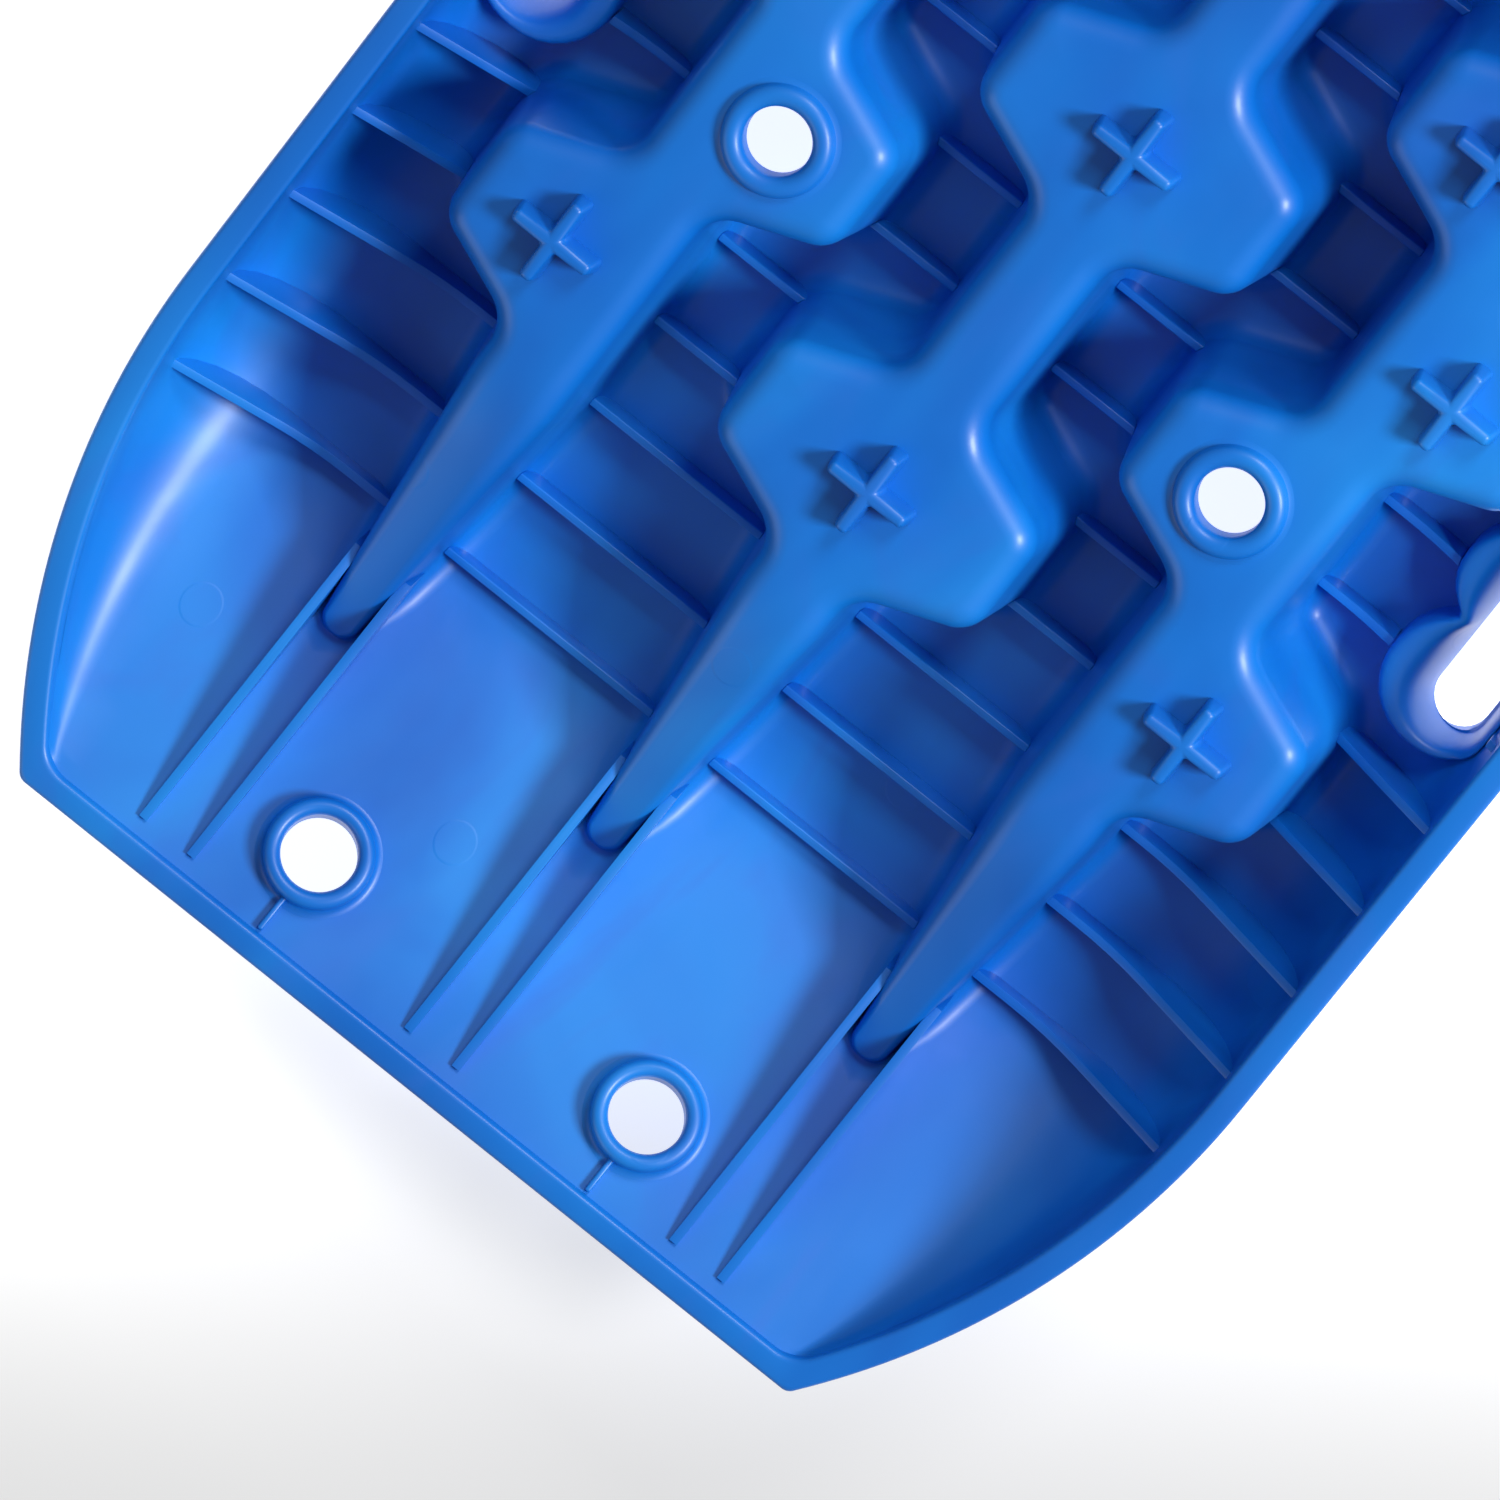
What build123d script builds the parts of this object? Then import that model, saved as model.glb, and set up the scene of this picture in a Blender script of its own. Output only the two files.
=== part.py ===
"""Vehicle recovery board: one stiff ribbed nylon moulding that is laid under a stuck wheel.

The board lies flat on its tyre-side studs with its hollow ground side up. X runs along its length,
Y across it and Z up. The origin is at the middle of the board, on the plane that the studs stand on.
All sizes are in millimetres. The moulding is divided along its own features, so that every node is
one region or one kind of feature, and neighbours meet face to face.
"""

import os
from math import atan2, cos, radians, sin, sqrt, tan

from build123d import *

# ---- Overall size -------------------------------------------------------------------------------
length = 1066.0  # over the two end edges
width = 306.0  # over the two long edges
channel_depth = 46.0  # from the row tops down to the channel floors
skin = 3.5  # nominal wall of the moulding
stud_height = 8.0  # tyre-side studs, which the board stands on here

# ---- Plan outline ---------------------------------------------------------------------------------
end_half_width = 113.0  # half of the straight end edge
shoulder_radius = 206.0  # plan curve from the end edge into the long edge
rim_width = 6.6  # flat band round the open side
rim_thickness = 5.0
flange = 3.1  # how far the rim stands out past the side wall
inner_corner_radius = 10.0
cove_radius = 28.0  # side wall into floor, inside

# ---- End ramps ------------------------------------------------------------------------------------
end_step = 2.5  # drop from the rim to the ramp at the end edge
ramp_foot = 97.0  # distance of the foot of the ramp from the end edge
foot_radius = 60.0  # blend of the ramp into the floor, on the open side

# ---- Rows -----------------------------------------------------------------------------------------
row_spacing = 78.0  # centre row to outer row
bar_half = 10.75  # half width of the plain bar of a row, at its top
lobe_reach = 37.5  # from a row's axis to the flat of a lobe
lobe_flat_half = 13.5  # half length of that flat
lobe_root_half = 24.5  # half length of a lobe where it leaves the bar
lobe_pitch = 100.0
first_lobe = 183.0  # first lobe's centre from the end edge
wall_draft = 5.0  # degrees
convex_radius = 8.0
concave_radius = 10.0
tip_start = 68.0  # pointed tip of a row, from the end edge
tip_half = 2.2
tip_rise = 5.0  # height of the tip's nose above the ramp
taper_end = 145.0  # where the tip has widened to the full bar
dive_end = 140.0  # where the sloping top of the tip reaches full height
core_tip_half = 1.5
taper_blend = 40.0  # rounding where the tip taper meets the straight bar

# ---- Pin bosses, eyelets and hand slots -----------------------------------------------------------
feature_offset = 13.0  # bosses and outer cleats stand this far off their row's axis
boss_outer_radius = 12.5
boss_bore_radius = 8.0
boss_lip = 3.0
lip_rounding = 1.8
eyelet_from_end = 27.0
eyelet_half_spacing = 48.2
eyelet_outer_radius = 13.2
eyelet_bore_radius = 9.0
eyelet_lip = 6.0
gusset_thickness = 1.4
gusset_rise = 2.0  # above the ramp
slot_centre_from_end = 274.0
slot_length = 126.0
slot_from_side = 12.0  # straight side of the slot, from the long edge
slot_width = 14.0
scallop_count = 5
scallop_depth = 10.0
grip_wall = 3.4  # collar wall between a scallop cusp and the slot
grip_height = 14.5  # collar top above the channel floor
grip_end_wall = 6.0  # collar past each end of the slot

# ---- Ribs, fins, cleats and studs -----------------------------------------------------------------
rib_thickness = 2.0
rib_height = 8.0
ribs_per_pitch = 4
last_rib = 95.5  # the outermost rib's distance from the end edge
rib_arch_from_side = 45.0  # where a side rib starts to climb the cove, from the long edge
rib_arch_radius = 45.0  # how softly it starts to climb
rib_top_below_rim = 19.0
fin_thickness = 2.2
fin_offset = 7.0
fin_near = 10.5
fin_far = 88.0
fin_near_rise = 1.2
fin_far_rise = 18.0
cleat_span = 24.0
cleat_base = 4.6
cleat_top_span = 18.0
cleat_top = 1.8
cleat_height = 7.5
stud_base_radius = 5.0
stud_top_radius = 3.4

# ---- Derived places -------------------------------------------------------------------------------
half_length = length / 2
half_width = width / 2
slot_outer_y = half_width - slot_from_side
rib_arch_start = half_width - rib_arch_from_side
under_z = stud_height
floor_z = under_z + skin
deck_z = floor_z + channel_depth
rim_under_z = deck_z - rim_thickness
ramp_drop = channel_depth - end_step
ramp_run = ramp_foot - rim_width
ramp_angle = atan2(ramp_drop, ramp_run)
tip_drop = end_step + (tip_start - rim_width) * ramp_drop / ramp_run - tip_rise
dive_slope = tip_drop / (dive_end - tip_start)
taper_slope = (bar_half - tip_half) / (taper_end - tip_start)
shoulder_turn = atan2(lobe_reach - bar_half, lobe_root_half - lobe_flat_half)
lobe_count = int((length - 2 * first_lobe) / lobe_pitch + 0.5) + 1
first_x = -(lobe_count - 1) * lobe_pitch / 2
lobe_xs = [first_x + i * lobe_pitch for i in range(lobe_count)]
between_xs = [x + lobe_pitch / 2 for x in lobe_xs[:-1]]
overshoot = 2.0  # how far cutting shapes run past the faces that they cut
near_zero = 0.01  # distance under which two places are the same
smallest_piece = 5.0  # volume under which a cut-off crumb is left out
top_z = deck_z + cleat_height

ENDS = {"near": -1, "far": 1}
SIDES = {"left": 1, "right": -1}


def ramp_z(from_end):
    """Height of the ramp's open face at a distance from the end edge."""
    return deck_z - end_step - (from_end - rim_width) * ramp_drop / ramp_run


# ---- Shared shapes --------------------------------------------------------------------------------
def board_face(inset, corner_radius=0):
    """Plan of the whole board, moved in by inset, on the plane z = 0."""
    radius = shoulder_radius - inset
    rise = half_width - end_half_width
    run = sqrt(shoulder_radius**2 - (shoulder_radius - rise) ** 2)
    centre_x = half_length - run
    centre_y = half_width - shoulder_radius
    end_x = half_length - inset
    end_y = centre_y + sqrt(radius**2 - (end_x - centre_x) ** 2)
    lift = atan2(end_y - centre_y, end_x - centre_x)
    half_turn = (radians(90) - lift) / 2
    bow_x = centre_x + radius * cos(lift + half_turn)
    bow_y = centre_y + radius * sin(lift + half_turn)
    side_y = half_width - inset
    edges = []
    for sx in (-1, 1):
        edges.append(Line((sx * end_x, -end_y), (sx * end_x, end_y)))
        for sy in (-1, 1):
            arc = ThreePointArc(
                (sx * end_x, sy * end_y), (sx * bow_x, sy * bow_y), (sx * centre_x, sy * side_y)
            )
            edges.append(arc)
    for sy in (-1, 1):
        edges.append(Line((-centre_x, sy * side_y), (centre_x, sy * side_y)))
    face = make_face(edges)
    if corner_radius:
        corners = [v for v in face.vertices() if abs(abs(v.X) - end_x) < near_zero]
        face = fillet(corners, corner_radius)
    return face


def trough(half, bottom, corner):
    """Long bar with the cross-section of the trough: flat bottom, round lower corners."""
    height = top_z + overshoot - bottom
    section = Plane.YZ * Pos(0, bottom + height / 2) * Rectangle(2 * half, height)
    lower = section.vertices().group_by(Axis.Z)[0]
    section = fillet(lower, corner)
    return extrude(section, amount=half_length + overshoot, both=True)


def ramp_block(drop, radius):
    """Wide block above the ramps and floor, lowered by drop along the z axis."""
    end_x = half_length + overshoot
    foot_x = half_length - ramp_foot
    high = ramp_z(-overshoot) - drop / cos(ramp_angle)
    low = floor_z - drop
    foot = foot_x - drop * tan(ramp_angle / 2)
    sky = top_z + overshoot
    line = [(-end_x, sky), (-end_x, high), (-foot, low), (foot, low), (end_x, high), (end_x, sky)]
    section = make_face(Plane.XZ * Polyline(*line, close=True))
    section = fillet(section.vertices().group_by(Axis.Z)[0], radius)
    return extrude(section, amount=half_width + overshoot, both=True)


def body_between(inset, drop, corner):
    """Solid bounded by the plan outline, the trough section and the ramps."""
    slab = extrude(board_face(inset, corner), amount=top_z + overshoot)
    section = trough(half_width - inset, floor_z - drop, cove_radius + drop)
    return slab & section & ramp_block(drop, foot_radius + drop)


def row_corners(upper, lower, inset):
    """Corner points and radii of a row's plan outline, moved in by inset."""
    half = bar_half - inset
    reach = lobe_reach - inset
    shift = inset * tan(shoulder_turn / 2)
    end_half = max(tip_half - inset, core_tip_half)
    start = tip_start
    if inset:
        start = tip_start + (end_half + inset - tip_half) / taper_slope
    tip_x = half_length - start
    taper_x = half_length - taper_end
    convex = convex_radius - inset
    concave = concave_radius + inset
    points = []
    for sign, centres in ((1, upper), (-1, lower)):
        side = [(-tip_x, end_half, end_half), (-taper_x, half, taper_blend)]
        for x in centres:
            side.append((x - lobe_root_half + shift, half, concave))
            side.append((x - lobe_flat_half + shift, reach, convex))
            side.append((x + lobe_flat_half - shift, reach, convex))
            side.append((x + lobe_root_half - shift, half, concave))
        side += [(taper_x, half, taper_blend), (tip_x, end_half, end_half)]
        side = [(x, sign * y, r) for x, y, r in side]
        points += side if sign > 0 else side[::-1]
    return points


def dive_block(drop):
    """Block below the rows' tops, whose ends dive down to the row tips."""
    dive_x = half_length - dive_end
    far_x = half_length - tip_start / 2
    far_z = deck_z - drop - (far_x - dive_x) * dive_slope
    flat_z = deck_z - drop
    right = [(dive_x, flat_z), (far_x, far_z), (far_x, -overshoot)]
    left = [(-x, z) for x, z in reversed(right)]
    section = make_face(Plane.XZ * Polyline(*left, *right, close=True))
    return extrude(section, amount=half_width, both=True)


def row_block(upper, lower, y, inset):
    """Solid column of a row, growing downwards with the draft, with its diving tips."""
    corners = row_corners(upper, lower, inset)
    spots = [(px, py) for px, py, r in corners]
    radii = [r for px, py, r in corners]
    outline = FilletPolyline(*spots, radius=radii, close=True)
    plan = Plane((0, y, deck_z)) * make_face(outline)
    column = extrude(plan, amount=deck_z, dir=(0, 0, -1), taper=-wall_draft)
    drop = skin if inset else 0
    return column & dive_block(drop)


def slab_between(x_low, x_high, y_low, y_high):
    """Full-height block over a rectangle of the plan."""
    centre = ((x_low + x_high) / 2, (y_low + y_high) / 2, 0)
    size = (x_high - x_low, y_high - y_low)
    return extrude(Pos(*centre) * Rectangle(*size), amount=top_z + overshoot)


def wedge(base, top, height, base_z):
    """Solid that tapers from a rectangle base (x, y) to a rectangle top (x, y)."""
    lower = Pos(0, 0, base_z) * Rectangle(*base)
    upper = Pos(0, 0, base_z + height) * Rectangle(*top)
    return loft([lower.face(), upper.face()], ruled=True)


def pieces(shape):
    """The separate solids of a shape, without slivers."""
    return [s for s in shape.solids() if s.volume > smallest_piece]


# ---- Rows -----------------------------------------------------------------------------------------
ROWS = {
    "left_row": (lobe_xs, between_xs, row_spacing),
    "centre_row": (lobe_xs, lobe_xs, 0),
    "right_row": (between_xs, lobe_xs, -row_spacing),
}


def boss_places():
    """Axis of each pin boss: on the first lobe between the rows, at both ends of the outer rows."""
    for end, sx in ENDS.items():
        for side, sy in SIDES.items():
            yield f"{end}_{side}_pin_boss", sx * between_xs[-1], sy * (row_spacing - feature_offset)


def make_boss(x, y):
    """Round lip and sleeve through the row top."""
    sleeve = Pos(x, y, deck_z - skin) * extrude(Circle(boss_outer_radius), amount=skin + boss_lip)
    bore = Pos(x, y, deck_z - skin) * extrude(Circle(boss_bore_radius), amount=skin + boss_lip)
    ring = sleeve - bore
    rims = ring.edges().filter_by(GeomType.CIRCLE).group_by(Axis.Z)[-1]
    return fillet(rims, lip_rounding)


def boss_seat(x, y):
    """Hole in the row top that the boss fills."""
    return Pos(x, y, deck_z - 2 * skin) * extrude(Circle(boss_outer_radius), amount=3 * skin)


# ---- Eyelets on the ramps -------------------------------------------------------------------------
def eyelet_plane(sx, y):
    """Plane of the ramp's open face at an eyelet, with its z along the eyelet's bore."""
    normal = (-sx * sin(ramp_angle), 0, cos(ramp_angle))
    centre = (sx * (half_length - eyelet_from_end), y, ramp_z(eyelet_from_end))
    return Plane(origin=centre, x_dir=(0, 1, 0), z_dir=normal)


def make_eyelet(sx, y):
    """Collar through the ramp with its bore square to the ramp."""
    plane = eyelet_plane(sx, y)
    height = skin + eyelet_lip
    ring = extrude(Circle(eyelet_outer_radius) - Circle(eyelet_bore_radius), amount=height)
    rims = ring.edges().filter_by(GeomType.CIRCLE).group_by(Axis.Z)[-1]
    return plane * Pos(0, 0, -skin) * fillet(rims, lip_rounding)


def eyelet_seat(sx, y):
    """Hole in the ramp that the eyelet fills."""
    disc = extrude(Circle(eyelet_outer_radius), amount=ramp_foot, both=True)
    return eyelet_plane(sx, y) * disc


def make_gusset(sx, y, cavity):
    """Small rib between an eyelet and the end rim."""
    low_x, high_x = sorted((sx * (half_length - eyelet_from_end), sx * half_length))
    blade = slab_between(low_x, high_x, y - gusset_thickness / 2, y + gusset_thickness / 2)
    rise = Pos(0, 0, gusset_rise / 2) * Box(width, 2 * ramp_foot, gusset_rise)
    return (blade & (eyelet_plane(sx, y) * rise) & cavity) - eyelet_seat(sx, y)


# ---- Hand slots -----------------------------------------------------------------------------------
def slot_face(sx, sy):
    """Plan of the clear opening of a hand slot."""
    x = sx * (half_length - slot_centre_from_end)
    y = sy * (slot_outer_y - slot_width / 2)
    return Pos(x, y, 0) * SlotOverall(slot_length, slot_width)


def grip_face(sx, sy):
    """Plan of a grip collar: straight at the edge of the board, scalloped for the fingers inside."""
    outer_y = slot_outer_y + grip_wall
    middle_y = slot_outer_y - slot_width / 2
    cusp_y = slot_outer_y - slot_width - grip_wall
    valley_y = cusp_y - scallop_depth
    pitch = slot_length / scallop_count
    end_x = slot_length / 2 + grip_end_wall
    side_x = slot_length / 2 - grip_end_wall
    cusps = [-slot_length / 2 + i * pitch for i in range(1, scallop_count)]
    joints = [(-end_x, middle_y)] + [(x, cusp_y) for x in cusps] + [(end_x, middle_y)]
    edges = [Line((-side_x, outer_y), (side_x, outer_y))]
    for sign in (-1, 1):
        corner = (sign * (slot_length / 2 + grip_end_wall / 2), outer_y - grip_wall)
        edges.append(ThreePointArc((sign * side_x, outer_y), corner, (sign * end_x, middle_y)))
    for i, (start, end) in enumerate(zip(joints, joints[1:])):
        valley = ((i + 0.5) * pitch - slot_length / 2, valley_y)
        edges.append(ThreePointArc(start, valley, end))
    face = make_face(edges)
    if sy < 0:
        face = face.mirror(Plane.XZ)
    return Pos(sx * (half_length - slot_centre_from_end), 0, 0) * face


def grip_block(sx, sy):
    """Full-height block over a grip collar's plan."""
    return extrude(grip_face(sx, sy), amount=top_z)


def slot_surround_block(sx, sy):
    """Full-height block over the channel and side wall beside a hand slot."""
    centre_x = sx * (half_length - slot_centre_from_end)
    y_low, y_high = sorted((sy * row_spacing, sy * half_width))
    return slab_between(centre_x - slot_length / 2, centre_x + slot_length / 2, y_low, y_high)


def make_grip(sx, sy, envelope, solid_rows):
    """Grip collar round a hand slot, which ends against the lobes beside it."""
    collar = extrude(grip_face(sx, sy), amount=floor_z + grip_height) & envelope
    for row in solid_rows:
        collar = collar - row
    return collar - extrude(slot_face(sx, sy), amount=top_z)


# ---- Ribs, fins, cleats and studs -----------------------------------------------------------------
def rib_xs():
    """Places of the cross ribs along the board."""
    spacing = lobe_pitch / ribs_per_pitch
    half_count = round((half_length - last_rib) / spacing + 0.5)
    half = [(i + 0.5) * spacing for i in range(half_count)]
    return [-x for x in reversed(half)] + half


def rib_profile():
    """Cross-section shape of a whole rib: low over the floor, climbing the coves at its ends."""
    low = floor_z + rib_height
    high = deck_z - rib_top_below_rim
    wall_y = half_width - rim_width
    right = [(rib_arch_start, low), (wall_y, high), (wall_y, under_z)]
    left = [(-y, z) for y, z in reversed(right)]
    section = make_face(Plane.YZ * Polyline(*left, *right, close=True))
    starts = section.vertices().filter_by_position(Axis.Z, low - near_zero, low + near_zero)
    return fillet(starts, rib_arch_radius)


def make_ribs(y_low, y_high, cavity, solid_rows, solid_grips):
    """All the ribs of one channel, cut off where they meet the rows and the grips."""
    ribs = []
    band = slab_between(-half_length, half_length, y_low, y_high)
    for x in rib_xs():
        rib = Pos(x, 0, 0) * extrude(rib_profile(), amount=rib_thickness / 2, both=True)
        rib = rib & band & cavity
        for cutter in solid_rows + solid_grips:
            rib = rib - cutter
        ribs += pieces(rib)
    return ribs


def make_fins(sx, cavity, solid_rows):
    """Pairs of upright fins beside the row tips, on one ramp."""
    near_x = sx * (half_length - fin_near)
    far_x = sx * (half_length - fin_far)
    near_top = (near_x, ramp_z(fin_near) + fin_near_rise)
    far_top = (far_x, ramp_z(fin_far) + fin_far_rise)
    line = Polyline(near_top, far_top, (far_x, under_z), (near_x, under_z), close=True)
    fins = []
    for row_y in (-row_spacing, 0, row_spacing):
        for offset in (-fin_offset, fin_offset):
            blade = extrude(make_face(Plane.XZ * line), amount=fin_thickness / 2, both=True)
            blade = (Pos(0, row_y + offset, 0) * blade) & cavity
            for row in solid_rows:
                blade = blade - row
            fins += pieces(blade)
    return fins


def make_cleat(x, y):
    """Cross-shaped cleat on a row top."""
    long_arm = wedge((cleat_span, cleat_base), (cleat_top_span, cleat_top), cleat_height, deck_z)
    cross_arm = wedge((cleat_base, cleat_span), (cleat_top, cleat_top_span), cleat_height, deck_z)
    return Pos(x, y, 0) * (long_arm + cross_arm)


def cleat_places():
    """Cleats by row: one on every lobe that has no pin boss."""
    without_boss = between_xs[1:-1]
    left = [(x, row_spacing + feature_offset) for x in lobe_xs]
    left += [(x, row_spacing - feature_offset) for x in without_boss]
    return {
        "left_row_cleats": left,
        "centre_row_cleats": [(x, 0) for x in lobe_xs],
        "right_row_cleats": [(x, -y) for x, y in left],
    }


def stud_places():
    """Tyre-side studs by channel, on the flat undersides between the rows."""
    base = channel_depth * tan(radians(wall_draft))
    wide = (lobe_reach + row_spacing - bar_half) / 2
    narrow = (bar_half + row_spacing - lobe_reach) / 2
    side = (row_spacing + bar_half + base + half_width - rim_width - cove_radius) / 2
    inner = [(x, wide) for x in lobe_xs] + [(x, narrow) for x in between_xs]
    outer = [(x, side) for x in between_xs]
    return {
        "left_side_studs": outer,
        "left_inner_studs": inner,
        "right_inner_studs": [(x, -y) for x, y in inner],
        "right_side_studs": [(x, -y) for x, y in outer],
    }


def make_stud(x, y):
    """Round tapered stud under the floor."""
    return Pos(x, y, under_z / 2) * Cone(stud_top_radius, stud_base_radius, under_z)


# ---- The moulding, divided along its features -----------------------------------------------------
def build_nodes():
    """Every node of the board, by name."""
    nodes = {}
    envelope = body_between(flange, skin, 0)
    cavity = body_between(rim_width, 0, inner_corner_radius)
    solid_rows = {name: row_block(*places, 0) for name, places in ROWS.items()}
    cores = {name: row_block(*places, skin) for name, places in ROWS.items()}
    grips = {}
    for end, sx in ENDS.items():
        for side, sy in SIDES.items():
            grips[f"{end}_{side}"] = (sx, sy)
    grip_blocks = [grip_block(*place) for place in grips.values()]
    grip_seats = [extrude(grip_face(*place), amount=floor_z + grip_height) for place in grips.values()]
    side_x = half_length - ramp_foot

    outer_rim = extrude(Pos(0, 0, rim_under_z) * board_face(0), amount=rim_thickness)
    inner_face = board_face(rim_width, inner_corner_radius)
    ring = outer_rim - extrude(Pos(0, 0, rim_under_z) * inner_face, amount=rim_thickness)
    nodes["near_rim"] = ring & slab_between(-half_length, -side_x, -half_width, half_width)
    nodes["far_rim"] = ring & slab_between(side_x, half_length, -half_width, half_width)
    nodes["left_rim"] = ring & slab_between(-side_x, side_x, 0, half_width)
    nodes["right_rim"] = ring & slab_between(-side_x, side_x, -half_width, 0)

    deck_block = extrude(board_face(0), amount=deck_z)
    panel = (envelope & deck_block) - cavity - ring
    for row in solid_rows.values():
        panel = panel - row
    for seat in grip_seats:
        panel = panel - seat
    for end, sx in ENDS.items():
        low, high = sorted((sx * side_x, sx * half_length))
        ramp = panel & slab_between(low, high, -half_width, half_width)
        for sy in SIDES.values():
            ramp = ramp - eyelet_seat(sx, sy * eyelet_half_spacing)
        nodes[f"{end}_ramp"] = ramp
    middle = panel & slab_between(-side_x, side_x, -half_width, half_width)
    for name, (sx, sy) in grips.items():
        beside = slot_surround_block(sx, sy)
        nodes[f"{name}_slot_surround"] = middle & beside
        middle = middle - beside
    nodes["left_side_channel"] = middle & slab_between(-side_x, side_x, row_spacing, half_width)
    nodes["left_inner_channel"] = middle & slab_between(-side_x, side_x, 0, row_spacing)
    nodes["right_inner_channel"] = middle & slab_between(-side_x, side_x, -row_spacing, 0)
    nodes["right_side_channel"] = middle & slab_between(-side_x, side_x, -half_width, -row_spacing)

    for name, solid_row in solid_rows.items():
        shell = (solid_row & envelope) - cores[name]
        for boss, x, y in boss_places():
            shell = shell - boss_seat(x, y)
        nodes[name] = shell
    for boss, x, y in boss_places():
        nodes[boss] = make_boss(x, y)
    for end, sx in ENDS.items():
        for side, sy in SIDES.items():
            y = sy * eyelet_half_spacing
            nodes[f"{end}_{side}_eyelet"] = [make_eyelet(sx, y), make_gusset(sx, y, cavity)]
    rows = list(solid_rows.values())
    for name, place in grips.items():
        nodes[f"{name}_grip"] = make_grip(*place, envelope, rows)
    nodes["left_side_ribs"] = make_ribs(row_spacing, half_width, cavity, rows, grip_blocks)
    nodes["left_inner_ribs"] = make_ribs(0, row_spacing, cavity, rows, [])
    nodes["right_inner_ribs"] = make_ribs(-row_spacing, 0, cavity, rows, [])
    nodes["right_side_ribs"] = make_ribs(-half_width, -row_spacing, cavity, rows, grip_blocks)
    for end, sx in ENDS.items():
        nodes[f"{end}_tip_fins"] = make_fins(sx, cavity, rows)
    for name, places in cleat_places().items():
        nodes[name] = [make_cleat(x, y) for x, y in places]
    for name, places in stud_places().items():
        nodes[name] = [make_stud(x, y) for x, y in places]
    return nodes


if __name__ == "__main__":
    os.makedirs("parts", exist_ok=True)
    for node, shapes in build_nodes().items():
        parts = shapes if isinstance(shapes, list) else [shapes]
        solids = [solid for part in parts for solid in pieces(part)]
        body = solids[0] if len(solids) == 1 else Compound(children=solids)
        export_step(body, f"parts/{node}.step")
        print(node, len(solids), round(sum(solid.volume for solid in solids)))
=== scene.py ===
"""Looks of a vehicle recovery board: a stiff blue moulding, shown hollow ground side up.

The board lies along X on its tyre-side studs. Sizes are in millimetres and become metres when a mesh
is made. The skin of the moulding (rows, channels, ramps) is one smooth relief, so it is laid out as
rings of points offset from the rows' outlines and joined by a triangulated floor. The rims and the
grips are laid out as rings too. The pin bosses, eyelets, cleats, studs, ribs and fins are shaped with
Blender's own tools.
"""

import logging
import math
from dataclasses import dataclass, field
from enum import Enum
from typing import Callable, Iterable, Sequence

import bmesh
import bpy
import numpy as np
from mathutils import Matrix, Vector, geometry


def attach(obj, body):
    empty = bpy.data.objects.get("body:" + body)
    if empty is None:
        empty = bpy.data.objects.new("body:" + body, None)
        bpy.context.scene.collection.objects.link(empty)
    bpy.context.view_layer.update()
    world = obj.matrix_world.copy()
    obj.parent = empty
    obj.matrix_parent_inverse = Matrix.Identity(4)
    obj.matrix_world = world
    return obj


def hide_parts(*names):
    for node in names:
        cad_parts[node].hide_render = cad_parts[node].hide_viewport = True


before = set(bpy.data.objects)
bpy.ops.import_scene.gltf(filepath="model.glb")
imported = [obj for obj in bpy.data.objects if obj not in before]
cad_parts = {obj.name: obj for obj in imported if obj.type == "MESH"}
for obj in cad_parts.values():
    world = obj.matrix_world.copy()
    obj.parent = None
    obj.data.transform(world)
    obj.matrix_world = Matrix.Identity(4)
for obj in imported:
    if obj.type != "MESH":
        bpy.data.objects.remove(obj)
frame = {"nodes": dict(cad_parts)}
LOG = logging.getLogger("recovery_board")
MM = 0.001
ARC_TURN = math.radians(9)  # largest turn of one chord of a rounded corner
ARC_CHORD = 6.0  # longest chord of a rounded corner
CORNER_STEPS = 7  # chords in a corner of the board's outline
EDGE_STEP = 6.0  # distance between points along the board's edge
HOLE_STEPS = 48  # points round a hole in the skin
BLOCK = 400  # points compared at a time, which limits the memory used
Points = np.ndarray


class Side(Enum):
    """Which way the board's Y runs at a feature."""

    LEFT = 1
    RIGHT = -1


class End(Enum):
    """Which way the board's X runs at a feature."""

    NEAR = -1
    FAR = 1


def corner_name(end: End, side: Side) -> str:
    """Start of the names of what stands at one end and side, such as near_left.

    Args:
        end: The end.
        side: The side.

    Returns:
        The text.
    """
    return f"{end.name.lower()}_{side.name.lower()}"


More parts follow.
